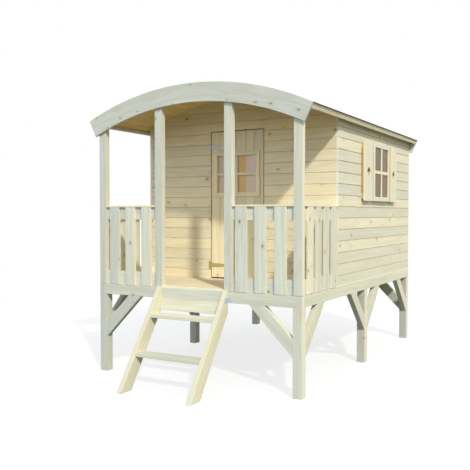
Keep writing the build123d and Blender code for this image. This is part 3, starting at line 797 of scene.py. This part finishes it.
def screw_head():
    """One screw head with a sloping rim and a recess, facing up from the origin."""
    radius = sizes().screw
    deselect()
    bpy.ops.mesh.primitive_cylinder_add(
        vertices=HEAD_SIDES, radius=radius, depth=radius * HEAD_HEIGHT, end_fill_type="NGON"
    )
    head = bpy.context.active_object
    head.name = "screw_head"
    bpy.ops.object.mode_set(mode="EDIT")
    bpy.ops.mesh.select_mode(type="FACE")
    bpy.ops.mesh.select_all(action="DESELECT")
    mesh = bmesh.from_edit_mesh(head.data)
    for face in mesh.faces:
        face.select_set(face.normal.z > NEAR_AXIS)
    bmesh.update_edit_mesh(head.data)
    for width, rise in (HEAD_RIM, (HEAD_FLAT, 0), HEAD_RECESS):
        bpy.ops.mesh.inset(thickness=radius * width, depth=radius * rise)
    bpy.ops.object.mode_set(mode="OBJECT")
    return head


def screws(name, places, material, body=ROOT):
    """Screw heads at the given places, each with the direction that it faces."""
    head = screw_head()
    heads = []
    for point, out in places:
        turn = UP.rotation_difference(Vector(out)).to_matrix().to_4x4()
        heads.append(moved_copy(head, Matrix.Translation(point) @ turn))
    bpy.data.objects.remove(head)
    return finish(join(name, heads), material, body=body, grain=False)


def screw_metal():
    return zinc("screw steel", colours().screw, 0.55)


# Places on an upright face

class Face:
    """Places on an upright face: along it, up, and out from it."""

    def __init__(self, origin, along, out):
        self.origin, self.along, self.out = Vector(origin), Vector(along), Vector(out)

    def at(self, along, out, up):
        return self.origin + self.along * along + self.out * out + UP * up

    def block(self, name, along, out, up, width=None):
        """Rounded block between pairs of places along, out and up."""
        a, b = self.at(along[0], out[0], up[0]), self.at(along[1], out[1], up[1])
        low = Vector(map(min, a, b))
        high = Vector(map(max, a, b))
        return rounded_block(name, low, high, width)


def mitred_frame(name, face, half_along, half_up, bar, deep, cross, cross_deep, edge):
    """Window frame of four mitred bars with a cross of glazing bars between two depths."""
    pieces = []
    outer_a, outer_u = half_along + bar, half_up + bar
    for side in (-1, 1):
        along = sorted((side * half_along, side * outer_a))
        up = sorted((side * half_up, side * outer_u))
        level = face.block(name, (-outer_a, outer_a), (0, deep), up, 0)
        upright = face.block(name, along, (0, deep), (-outer_u, outer_u), 0)
        for end in (-1, 1):
            corner = face.at(end * half_along, 0, side * half_up)
            cut_off(level, corner, face.along * end - UP * side)
            corner = face.at(side * half_along, 0, end * half_up)
            cut_off(upright, corner, UP * end - face.along * side)
        pieces += [level, upright]
    for piece in pieces:
        round_edges(piece, edge)
    inside = edge / 2
    reach = half_along + inside
    thick = (-cross / 2, cross / 2)
    pieces.append(face.block(name, (-reach, reach), cross_deep, thick, edge))
    for side in (-1, 1):
        ends = sorted((side * (cross / 2 - inside), side * (half_up + inside)))
        pieces.append(face.block(name, thick, cross_deep, ends, edge))
    return join(name, pieces)


def standing_level():
    """Height of the feet of the posts and railings, just above the beams."""
    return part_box("porch_floor")[0].z + sizes().foot_gap


# Operators

class PlayhouseOperator:
    """What the operators share."""
    bl_options = {"REGISTER", "UNDO"}


class PLAYHOUSE_OT_stage(PlayhouseOperator, bpy.types.Operator):
    """Add the pale floor, the soft light and the camera"""
    bl_idname = "playhouse.stage"
    bl_label = "Stage"

    def execute(self, context):
        self.camera(context)
        settings = studio()
        self.lamp(settings.sun_from, settings.sun_power, settings.sun_soft, settings.sun_colour)
        self.lamp(settings.fill_from, settings.fill_power, settings.fill_soft, settings.fill_colour)
        self.world(context)
        self.floor()
        context.scene.view_settings.view_transform = "Standard"
        return {"FINISHED"}

    def camera(self, context):
        settings = studio()
        deselect()
        bpy.ops.object.camera_add(
            location=settings.camera_place, rotation=(settings.camera_tilt, 0, settings.camera_turn)
        )
        camera = context.active_object
        camera.data.sensor_width = settings.sensor
        camera.data.lens = settings.lens
        context.scene.camera = camera

    def lamp(self, source, power, softness, tint):
        """Parallel light from one direction, with soft edges to its shadows."""
        deselect()
        bpy.ops.object.light_add(type="SUN", location=Vector(source) * LAMP_AWAY)
        lamp = bpy.context.active_object
        lamp.rotation_euler = Vector(source).to_track_quat("Z", "Y").to_euler()
        lamp.data.energy = power
        lamp.data.angle = softness
        lamp.data.color = tint

    def world(self, context):
        """Soft fill, dim and cool on the left, white on the right and behind, and white where it is seen."""
        settings = studio()
        world = bpy.data.worlds.new("studio")
        context.scene.world = world
        graph = Graph(world)
        way = graph.node("ShaderNodeTexCoord").outputs["Generated"]
        right, back = graph.node("ShaderNodeSeparateXYZ", {"Vector": way}).outputs[:2]
        share = graph.math("MAXIMUM", graph.fade(right, *SKY_TO_RIGHT), graph.fade(back, *SKY_TO_BACK))
        fill = graph.mix(share, (*settings.sky_left, 1), (*settings.sky_right, 1))
        shown = graph.mix(seen(graph), fill, WHITE)
        shader = graph.node("ShaderNodeBackground", {"Color": shown, "Strength": 1.0})
        graph.node("ShaderNodeOutputWorld", {"Surface": shader.outputs[0]})

    def floor(self):
        """Pale floor that turns into the white background away from the object."""
        settings = studio()
        deselect()
        bpy.ops.mesh.primitive_circle_add(
            vertices=FLOOR_SIDES, radius=settings.ground_reach, fill_type="NGON"
        )
        floor = bpy.context.active_object
        floor.name = "studio_floor"
        material = bpy.data.materials.new("studio floor")
        graph = Graph(material)
        place = graph.node("ShaderNodeTexCoord").outputs["Object"]
        away = graph.node("ShaderNodeVectorMath", {0: place}, operation="LENGTH").outputs["Value"]
        looked_at = seen(graph)
        paint = graph.mix(looked_at, (*settings.ground_bounce, 1), (*settings.ground, 1))
        matt = graph.node("ShaderNodeBsdfDiffuse", {"Color": paint}).outputs[0]
        white = graph.node("ShaderNodeEmission", {"Color": WHITE, "Strength": 1.0}).outputs[0]
        glow = graph.fade(away, settings.ground_clear, settings.ground_white, settings.ground_glow, 1.0)
        share = graph.math("MULTIPLY", glow, looked_at)
        shader = graph.node("ShaderNodeMixShader", {0: share, 1: matt, 2: white})
        graph.surface(shader.outputs[0])
        floor.data.materials.append(material)


class PLAYHOUSE_OT_platform(PlayhouseOperator, bpy.types.Operator):
    """Add the legs, beams and diagonal braces with rounded edges"""
    bl_idname = "playhouse.platform"
    bl_label = "Legs, beams and braces"

    def execute(self, context):
        for node in nodes_called("leg_", "beam_", "cross_braces", "side_braces"):
            # The pieces at the sides take the lighter copy of the frame timber, which is painted sunlight.
            at_side = node.startswith(("beam_left", "beam_right", "side_braces"))
            timber = painted_light_frame_wood() if at_side else frame_wood()
            finish(rounded_copy(node), timber, [node])
        return {"FINISHED"}


class PLAYHOUSE_OT_floors(PlayhouseOperator, bpy.types.Operator):
    """Add the boards of the porch floor and the cabin floor"""
    bl_idname = "playhouse.floors"
    bl_label = "Floor boards"

    def execute(self, context):
        for node in ("porch_floor", "cabin_floor"):
            self.floor(node)
        return {"FINISHED"}

    def floor(self, node):
        """Boards across the house, as many as fit, from one board and an array."""
        low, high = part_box(node)
        gap = sizes().floor_gap
        deep = high.y - low.y
        count = round(deep / sizes().floor_board)
        pitch = (deep + gap) / count
        far = Vector((high.x, low.y + pitch - gap, high.z))
        piece = add_block(node + "_boards", low, far)
        top = high.z - MERGE
        shape_edges(piece, lambda first, second: min(first.z, second.z) > top, gap, 2)
        repeat(piece, count, (0, pitch, 0))
        if node == "porch_floor":
            self.notch(piece)
        finish(piece, floor_wood(), [node])

    def notch(self, piece):
        """Cuts the floor back where posts and railings stand on the beams."""
        room = Vector((1, 1, 1)) * sizes().notch_gap
        for node in nodes_called("porch_post", "railing"):
            low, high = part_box(node)
            low.z = standing_level() - 2 * room.z
            trim(piece, add_block("notch", low - room, high + room), "DIFFERENCE")


class PLAYHOUSE_OT_posts(PlayhouseOperator, bpy.types.Operator):
    """Add the four porch posts"""
    bl_idname = "playhouse.posts"
    bl_label = "Porch posts"

    def execute(self, context):
        for node in nodes_called("porch_post"):
            piece = copy_of_node(node + "_timber", node)
            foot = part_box(node)[0].z + MERGE
            for vertex in piece.data.vertices:
                if vertex.co.z < foot:
                    vertex.co.z = standing_level()
            round_edges(piece, sizes().edge)
            finish(piece, frame_wood(), [node])
        return {"FINISHED"}


class PLAYHOUSE_OT_railings(PlayhouseOperator, bpy.types.Operator):
    """Add the railing panels: slats, rails, caps and their screws"""
    bl_idname = "playhouse.railings"
    bl_label = "Railings"

    def execute(self, context):
        size = sizes()
        front = (size.slats_front, size.slat_pitch_front)
        side = (size.slats_side, size.slat_pitch_side)
        self.panel("railing_front_left", (1, 0, 0), (0, -1, 0), *front, 0)
        self.panel("railing_front_right", (1, 0, 0), (0, -1, 0), *front, size.slat_shift_right)
        self.panel("railing_left", (0, 1, 0), (-1, 0, 0), *side, size.slat_shift_side)
        self.panel("railing_right", (0, 1, 0), (1, 0, 0), *side, size.slat_shift_side)
        return {"FINISHED"}

    def panel(self, node, along, out, count, pitch, shift):
        """One panel, laid out from the middle of its node's outer face."""
        size = sizes()
        low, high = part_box(node)
        along, out = Vector(along), Vector(out)
        half = abs((high - low).dot(along)) / 2
        deep = abs((high - low).dot(out))
        origin = (low + high) / 2 + out * deep / 2
        origin.z = 0
        face = Face(origin, along, out)
        cap_low = high.z - size.cap_thick
        upper = (high.z - size.rail_drop - size.rail_high, high.z - size.rail_drop)
        foot = standing_level()
        lower = (foot, low.z + size.rail_high)
        behind = (-size.slat_thick - size.rail_thick, -size.slat_thick)
        pieces = [
            face.block(node, (-half, half), behind, lower),
            face.block(node, (-half, half), behind, (upper[0], cap_low)),
            face.block(node, (-half, half), (-deep, 0), (cap_low, high.z)),
        ]
        places = []
        for index in range(count):
            middle = shift + (index - (count - 1) / 2) * pitch
            edges = (middle - size.slat_width / 2, middle + size.slat_width / 2)
            pieces.append(face.block(node, edges, (-size.slat_thick, 0), (foot, cap_low)))
            for rail in (lower, upper):
                for way in (-1, 1):
                    up = sum(rail) / 2 + way * size.rail_high / 4
                    place = middle + way * size.slat_width / 4
                    places.append((face.at(place, 0, up), out))
        # The side panels take the lighter copy of the railing timber, which is painted sunlight.
        timber = painted_light_railing_wood() if out.x else railing_wood()
        finish(join(node + "_timber", pieces), timber, [node])
        screws(node + "_screws", places, screw_metal())


class PLAYHOUSE_OT_walls(PlayhouseOperator, bpy.types.Operator):
    """Add the wall boards, one above the other with a chamfered joint"""
    bl_idname = "playhouse.walls"
    bl_label = "Wall boards"

    def execute(self, context):
        for node, out in (("left_wall", (-1, 0, 0)), ("right_wall", (1, 0, 0)), ("rear_wall", (0, 1, 0))):
            finish(self.boards(node, Vector(out)), side_wall_wood(), [node])
        for node in ("front_wall_left", "front_wall_right", "front_wall_top"):
            piece = self.boards(node, Vector((0, -1, 0)))
            # The front wall takes the porch wall timber, partly painted bounce light.
            finish(piece, porch_wall_wood_with_painted_bounce(), [node], courses="porch wall")
        return {"FINISHED"}

    def boards(self, node, out):
        """Boards stacked from one board with chamfered outer edges, then cut to the wall's outline."""
        size = sizes()
        low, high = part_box(node)
        pitch = size.board_pitch
        first = first_joint()
        start = first + math.floor((low.z - first) / pitch) * pitch
        count = math.ceil((high.z - start) / pitch)
        corner = Vector((low.x, low.y, start))
        far = Vector((high.x, high.y, start + pitch - size.joint_gap))
        piece = add_block(node + "_boards", corner, far)
        outer = (high if out.dot(Vector((1, 1, 0))) > 0 else low).dot(out)
        level = Vector((abs(out.y), abs(out.x), 0))

        def long_outer_edge(first, second):
            on_face = all(abs(end.dot(out) - outer) < MERGE for end in (first, second))
            return on_face and abs((second - first).dot(level)) > size.joint

        shape_edges(piece, long_outer_edge, size.porch_joint if out.y < 0 else size.joint)
        repeat(piece, count, (0, 0, pitch))
        trim(piece, copy_of_node(node + "_outline", node))
        return piece


class PLAYHOUSE_OT_door(PlayhouseOperator, bpy.types.Operator):
    """Add the door's upright boards, its ledges and the frame of its window"""
    bl_idname = "playhouse.door"
    bl_label = "Door"

    def execute(self, context):
        self.leaf()
        # The door's ledges take the porch wall timber, partly painted bounce light.
        finish(rounded_copy("door_ledges"), porch_wall_wood_with_painted_bounce(), ["door_ledges"], DOOR)
        self.window()
        return {"FINISHED"}

    def leaf(self):
        """Upright boards from one board and an array, cut to the leaf's outline."""
        size = sizes()
        low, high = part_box("door_leaf")
        count = round((high.x - low.x) / size.door_board)
        pitch = (high.x - low.x) / count
        far = Vector((low.x + pitch - size.joint_gap, high.y, high.z))
        piece = add_block("door_leaf_boards", low, far)
        front = low.y + MERGE
        shape_edges(piece, lambda first, second: max(first.y, second.y) < front, size.door_joint)
        repeat(piece, count, (pitch, 0, 0))
        trim(piece, copy_of_node("door_leaf_outline", "door_leaf"))
        # The door's boards take the porch wall timber, partly painted bounce light.
        finish(piece, porch_wall_wood_with_painted_bounce(), ["door_leaf"], DOOR)

    def window(self):
        size = sizes()
        low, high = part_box("door_window_frame")
        glass_low, glass_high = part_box("door_glass")
        middle = (low + high) / 2
        face = Face((middle.x, high.y, middle.z), (1, 0, 0), (0, -1, 0))
        half = (glass_high - glass_low) / 2
        piece = mitred_frame(
            "door_window_timber", face, half.x, half.z, size.door_bar,
            high.y - low.y, size.cross_bar, (0, size.cross_thick), size.door_edge,
        )
        # The door's window frame takes the porch wall timber, partly painted bounce light.
        finish(piece, porch_wall_wood_with_painted_bounce(), ["door_window_frame"], DOOR)


class PLAYHOUSE_OT_hinges(PlayhouseOperator, bpy.types.Operator):
    """Add the hinges' finish, softened edges and screws"""
    bl_idname = "playhouse.hinges"
    bl_label = "Hinges and bracket"

    def execute(self, context):
        paint = colours()
        blue = zinc("blue zinc", paint.blue_zinc)
        yellow = zinc("yellow zinc", paint.yellow_zinc)
        for level, metal, slot in (("upper", blue, "zinc_steel"), ("lower", yellow, "yellow_zinc_steel")):
            self.strap(level, metal, slot)
            self.plate(level, metal, slot)
        self.bracket(zinc("bracket zinc", paint.bracket_zinc), "zinc_steel")
        return {"FINISHED"}

    def steel(self, node, metal, slot, body=ROOT):
        piece = rounded_copy(node, "_steel", sizes().steel_edge, 1)
        finish(piece, metal, [node], body, grain=False)

    def pair(self, x, y, middle, spread, out):
        """Places of two screws, one above the other."""
        return [(Vector((x, y, middle + way * spread)), out) for way in (-1, 1)]

    def strap(self, level, metal, slot):
        node = "door_strap_" + level
        self.steel(node, metal, slot, DOOR)
        low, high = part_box(node)
        middle = (low.z + high.z) / 2
        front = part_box("door_leaf")[0].y - sizes().hinge_thick
        reach = high.x - low.x
        places = [
            (Vector((low.x + share * reach, front, middle)), (0, -1, 0)) for share in STRAP_SCREWS
        ]
        screws(node + "_screws", places, metal, DOOR)

    def plate(self, level, metal, slot):
        size = sizes()
        node = "hinge_plate_" + level
        self.steel(node, metal, slot)
        low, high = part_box(node)
        middle = (low.z + high.z) / 2
        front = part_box("front_wall_left")[0].y - size.hinge_thick
        places = self.pair(low.x + size.screw_inset, front, middle, size.plate_spread, (0, -1, 0))
        screws(node + "_screws", places, metal)

    def bracket(self, metal, slot):
        """Bent bracket, with two screws in the beam and two in the stringer."""
        size = sizes()
        self.steel("stair_bracket", metal, slot)
        low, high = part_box("stair_bracket")
        middle = (low.z + high.z) / 2
        face = high.y - size.bracket_thick
        places = self.pair(high.x - size.screw_inset, face, middle, size.bracket_spread, (0, -1, 0))
        side = low.x + size.bracket_thick
        places += self.pair(side, low.y + size.bracket_reach, middle, size.bracket_spread, (1, 0, 0))
        screws("stair_bracket_screws", places, metal)


class PLAYHOUSE_OT_window(PlayhouseOperator, bpy.types.Operator):
    """Add the side window's frame, its shutters with their strips of painted shade, and the tints of both
    panes, which paint their light and shade
    """
    bl_idname = "playhouse.window"
    bl_label = "Side window and shutters"

    def execute(self, context):
        self.frame()
        self.shutters()
        self.panes()
        return {"FINISHED"}

    def panes(self):
        """Gives both panes their tints: the sunlit side pane is darkened as painted shade, the shaded door
        pane is lightened as painted light, with a painted streak of warm light.
        """
        paint = colours()
        streak = (tuple(paint.door_streak), sizes().streak_from, sizes().streak_to)
        panes = {
            "side_window_glass": made_once("side window glass", build_glass, tuple(paint.glass), None),
            "door_glass": made_once("door glass", build_glass, tuple(paint.door_glass), streak),
        }
        for node, pane in panes.items():
            mesh = frame["nodes"][node].data
            mesh.materials.clear()
            mesh.materials.append(pane)

    def frame(self):
        size = sizes()
        low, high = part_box("side_window_frame")
        glass_low, glass_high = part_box("side_window_glass")
        middle = (low + high) / 2
        face = Face((low.x, middle.y, middle.z), (0, 1, 0), (1, 0, 0))
        half = (glass_high - glass_low) / 2
        pane = glass_high.x - low.x
        piece = mitred_frame(
            "side_window_timber", face, half.y, half.z, size.window_bar, high.x - low.x,
            size.window_cross, (pane, pane + size.window_cross_deep), size.window_edge,
        )
        finish(piece, window_wood(), ["side_window_frame"])

    def shutters(self):
        """One shutter on each side of the window, with brown strips of painted shade along their front edges.
        """
        low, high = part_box("shutters")
        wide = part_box("side_window_frame")[0].y - sizes().shutter_space - low.y
        half, tall, deep = wide / 2, (high.z - low.z) / 2, high.x - low.x
        pieces, strips = [], []
        for start in (low.y, high.y - wide):
            face = Face((low.x, start + half, (low.z + high.z) / 2), (0, 1, 0), (1, 0, 0))
            # Each shutter gets a brown strip of painted shade behind its front edge, and the right one a
            # painted shade strip on that edge.
            strips.append(self.spacer(face, half, deep))
            pieces += self.shutter(face, half, tall, deep)
        strips.append(self.lip(face, half, tall, deep))
        finish(join("shutters_timber", pieces), window_wood(), ["shutters"])
        finish(join("shutter_spacers", strips), painted_shade_wood())

    def shutter(self, face, half, tall, deep):
        """Two boards on two ledges, with a diamond cut through both boards."""
        size = sizes()
        back = deep - size.shutter_thick
        boards = [
            face.block("shutter", edges, (back, deep), (-tall, tall))
            for edges in ((-half, -size.shutter_gap), (size.shutter_gap, half))
        ]
        pieces = [join("shutter", boards)]
        trim(pieces[0], self.diamond(face, back + size.shutter_thick / 2), "DIFFERENCE")
        inset = half - size.ledge_inset
        for way in (-1, 1):
            ends = sorted((way * size.shutter_reach, way * (size.shutter_reach - size.shutter_ledge)))
            pieces.append(face.block("ledge", (-inset, inset), (0, back), ends))
        return pieces

    def spacer(self, face, half, deep):
        """Brown strip behind a shutter's front edge, between its ledges: painted shade for the gap behind the
        shutter.
        """
        size = sizes()
        start = size.ledge_inset - half
        back = deep - size.shutter_thick
        tall = size.shutter_reach - size.shutter_ledge
        return face.block("spacer", (start, start + size.spacer), (0, back), (-tall, tall))

    def lip(self, face, half, tall, deep):
        """Thin brown strip on a shutter's front edge: painted shade on that edge."""
        size = sizes()
        wide = (-half - size.painted_shade_lip_thickness, -half)
        up = (size.edge - tall, tall - size.edge)
        return face.block("lip", wide, (0, deep - size.edge / 2), up, size.painted_shade_lip_rounding)

    def diamond(self, face, deep):
        """Four-sided prism through a shutter, about a middle so deep in it."""
        size = sizes()
        deselect()
        middle = face.at(0, deep, 0)
        bpy.ops.mesh.primitive_cylinder_add(
            vertices=4, radius=1, depth=2 * size.shutter_thick, location=middle,
            rotation=(0, math.radians(90), 0),
        )
        piece = bpy.context.active_object
        piece.name = "diamond"
        bpy.ops.object.transform_apply(location=False, rotation=True, scale=True)
        piece.scale = (1, size.hole_wide / 2, size.hole_high / 2)
        bpy.ops.object.transform_apply(location=True, rotation=True, scale=True)
        return piece


class PLAYHOUSE_OT_roof(PlayhouseOperator, bpy.types.Operator):
    """Add the roof boards, the felt sheets, the arched boards and the eave battens"""
    bl_idname = "playhouse.roof"
    bl_label = "Roof"

    def execute(self, context):
        self.boards()
        self.felt()
        for node in ("arch_board_front", "arch_board_rear"):
            finish(rounded_copy(node), arch_wood(), [node], spread=round_the_arch)
        piece = rounded_copy("eave_boards", width=sizes().window_edge)
        finish(piece, side_wall_wood(), ["eave_boards"])
        return {"FINISHED"}

    def edge_angle(self):
        """Angle from the crown to the edge of the roof."""
        return math.asin(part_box("roof_felt")[1].x / sizes().roof_radius)

    def boards(self):
        """One board at the crown, chamfered below, and its copies round the curve."""
        size = sizes()
        low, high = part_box("roof_boards")
        outer = size.roof_radius - size.felt_thick
        middle = outer - size.roof_thick / 2
        edge = self.edge_angle()
        count = round(2 * edge * middle / size.roof_board)
        step = 2 * edge / count
        half = step * middle / 2 - size.joint_gap
        top = roof_centre() + outer
        bottom = top - size.roof_thick
        piece = add_block("roof_board", (-half, low.y, bottom), (half, high.y, top))
        under = bottom + MERGE
        shape_edges(piece, lambda first, second: max(first.z, second.z) < under, size.roof_joint)
        turns = [-edge + (index + 0.5) * step for index in range(count)]
        copies = [moved_copy(piece, turn_round_roof(turn)) for turn in turns]
        bpy.data.objects.remove(piece)
        finish(join("roof_boards_timber", copies), roof_wood(), ["roof_boards"])

    def felt(self):
        """Two eave sheets under one crown sheet, and the felt turned down over both edges of the roof."""
        size = sizes()
        edge = self.edge_angle()
        crown = size.felt_crown / 2 / size.roof_radius
        lap = size.felt_overlap / size.roof_radius
        sheets = [
            self.sheet(-edge, lap - crown, 0),
            self.sheet(crown - lap, edge, 0),
            self.sheet(-crown, crown, size.felt_lap),
            self.turned_down(-1, edge),
            self.turned_down(1, edge),
        ]
        felt = made_once("roof felt", build_felt, tuple(colours().felt))
        finish(join("roof_felt_sheets", sheets), felt, ["roof_felt"], grain=False)

    def sheet(self, start, end, lift):
        """Curved strip of felt between two angles, spun from one straight end."""
        size = sizes()
        low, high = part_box("roof_felt")
        centre = roof_centre()
        inner = size.roof_radius - size.felt_thick + lift
        outer = size.roof_radius - size.felt_grit + lift
        deselect()
        bpy.ops.mesh.primitive_plane_add(size=1)
        piece = bpy.context.active_object
        corners = ((inner, low.y), (outer, low.y), (inner, high.y), (outer, high.y))
        for vertex, (radius, y) in zip(piece.data.vertices, corners):
            vertex.co = (math.sin(start) * radius, y, centre + math.cos(start) * radius)
        activate(piece)
        bpy.ops.object.mode_set(mode="EDIT")
        bpy.ops.mesh.select_all(action="SELECT")
        steps = max(FELT_ROWS, round((end - start) / FELT_STEP))
        bpy.ops.mesh.spin(steps=steps, angle=start - end, center=(0, 0, centre), axis=(0, 1, 0))
        bpy.ops.mesh.select_all(action="SELECT")
        bpy.ops.mesh.remove_doubles(threshold=MERGE)
        bpy.ops.mesh.normals_make_consistent(inside=False)
        bpy.ops.object.mode_set(mode="OBJECT")
        return piece

    def turned_down(self, side, edge):
        """Felt folded over the edge of the roof boards."""
        size = sizes()
        low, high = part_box("roof_felt")
        top = roof_centre() + size.roof_radius - size.felt_grit
        out = sorted((0, side * size.felt_fold))
        strip = add_block("felt_edge", (out[0], low.y, top - size.felt_down), (out[1], high.y, top))
        strip.data.transform(turn_round_roof(side * edge))
        return strip


class PLAYHOUSE_OT_stair(PlayhouseOperator, bpy.types.Operator):
    """Add the stair's stringers, treads and the board under the beam"""
    bl_idname = "playhouse.stair"
    bl_label = "Stair"

    def execute(self, context):
        for node in ("stair_stringer_left", "stair_stringer_right", "stair_hanger"):
            timber = hanger_wood() if node == "stair_hanger" else stair_wood()
            finish(rounded_copy(node), timber, [node])
        self.treads()
        return {"FINISHED"}

    def treads(self):
        """The two treads, each with its front cut plumb."""
        low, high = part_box("stair_treads")
        middle = (low + high) / 2
        treads = []
        for way in (1, -1):
            tread = copy_of_node("tread", "stair_treads")
            cut_off(tread, middle, UP * way)
            points = points_of(tread.data)
            on_top = points[:, 2] > points[:, 2].max() - MERGE
            cut_off(tread, (0, points[on_top, 1].min(), 0), (0, -1, 0))
            treads.append(tread)
        piece = join("stair_treads_timber", treads)
        round_edges(piece, sizes().edge)
        finish(piece, tread_wood(), ["stair_treads"])


class PLAYHOUSE_PT_panel(bpy.types.Panel):
    """Lists the steps of the playhouse"""
    bl_label = "Playhouse"
    bl_idname = "PLAYHOUSE_PT_panel"
    bl_space_type = "VIEW_3D"
    bl_region_type = "UI"
    bl_category = "Playhouse"

    def draw(self, context):
        for operator in OPERATORS:
            self.layout.operator(operator.bl_idname)
        for group in GROUPS:
            settings = getattr(context.scene, group)
            for name in settings.__annotations__:
                self.layout.prop(settings, name)


OPERATORS = (
    PLAYHOUSE_OT_stage,
    PLAYHOUSE_OT_platform,
    PLAYHOUSE_OT_floors,
    PLAYHOUSE_OT_posts,
    PLAYHOUSE_OT_railings,
    PLAYHOUSE_OT_walls,
    PLAYHOUSE_OT_door,
    PLAYHOUSE_OT_hinges,
    PLAYHOUSE_OT_window,
    PLAYHOUSE_OT_roof,
    PLAYHOUSE_OT_stair,
)
GROUPS = {
    "playhouse_sizes": PlayhouseSizes,
    "playhouse_colours": PlayhouseColours,
    "playhouse_studio": PlayhouseStudio,
}


def register():
    for name, group in GROUPS.items():
        bpy.utils.register_class(group)
        setattr(bpy.types.Scene, name, PointerProperty(type=group))
    for operator in OPERATORS:
        bpy.utils.register_class(operator)
    bpy.utils.register_class(PLAYHOUSE_PT_panel)


def unregister():
    bpy.utils.unregister_class(PLAYHOUSE_PT_panel)
    for operator in reversed(OPERATORS):
        bpy.utils.unregister_class(operator)
    for name, group in GROUPS.items():
        delattr(bpy.types.Scene, name)
        bpy.utils.unregister_class(group)


def main():
    """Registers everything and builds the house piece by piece."""
    register()
    for operator in OPERATORS:
        group, name = operator.bl_idname.split(".")
        getattr(getattr(bpy.ops, group), name)()


if __name__ == "__main__":
    main()
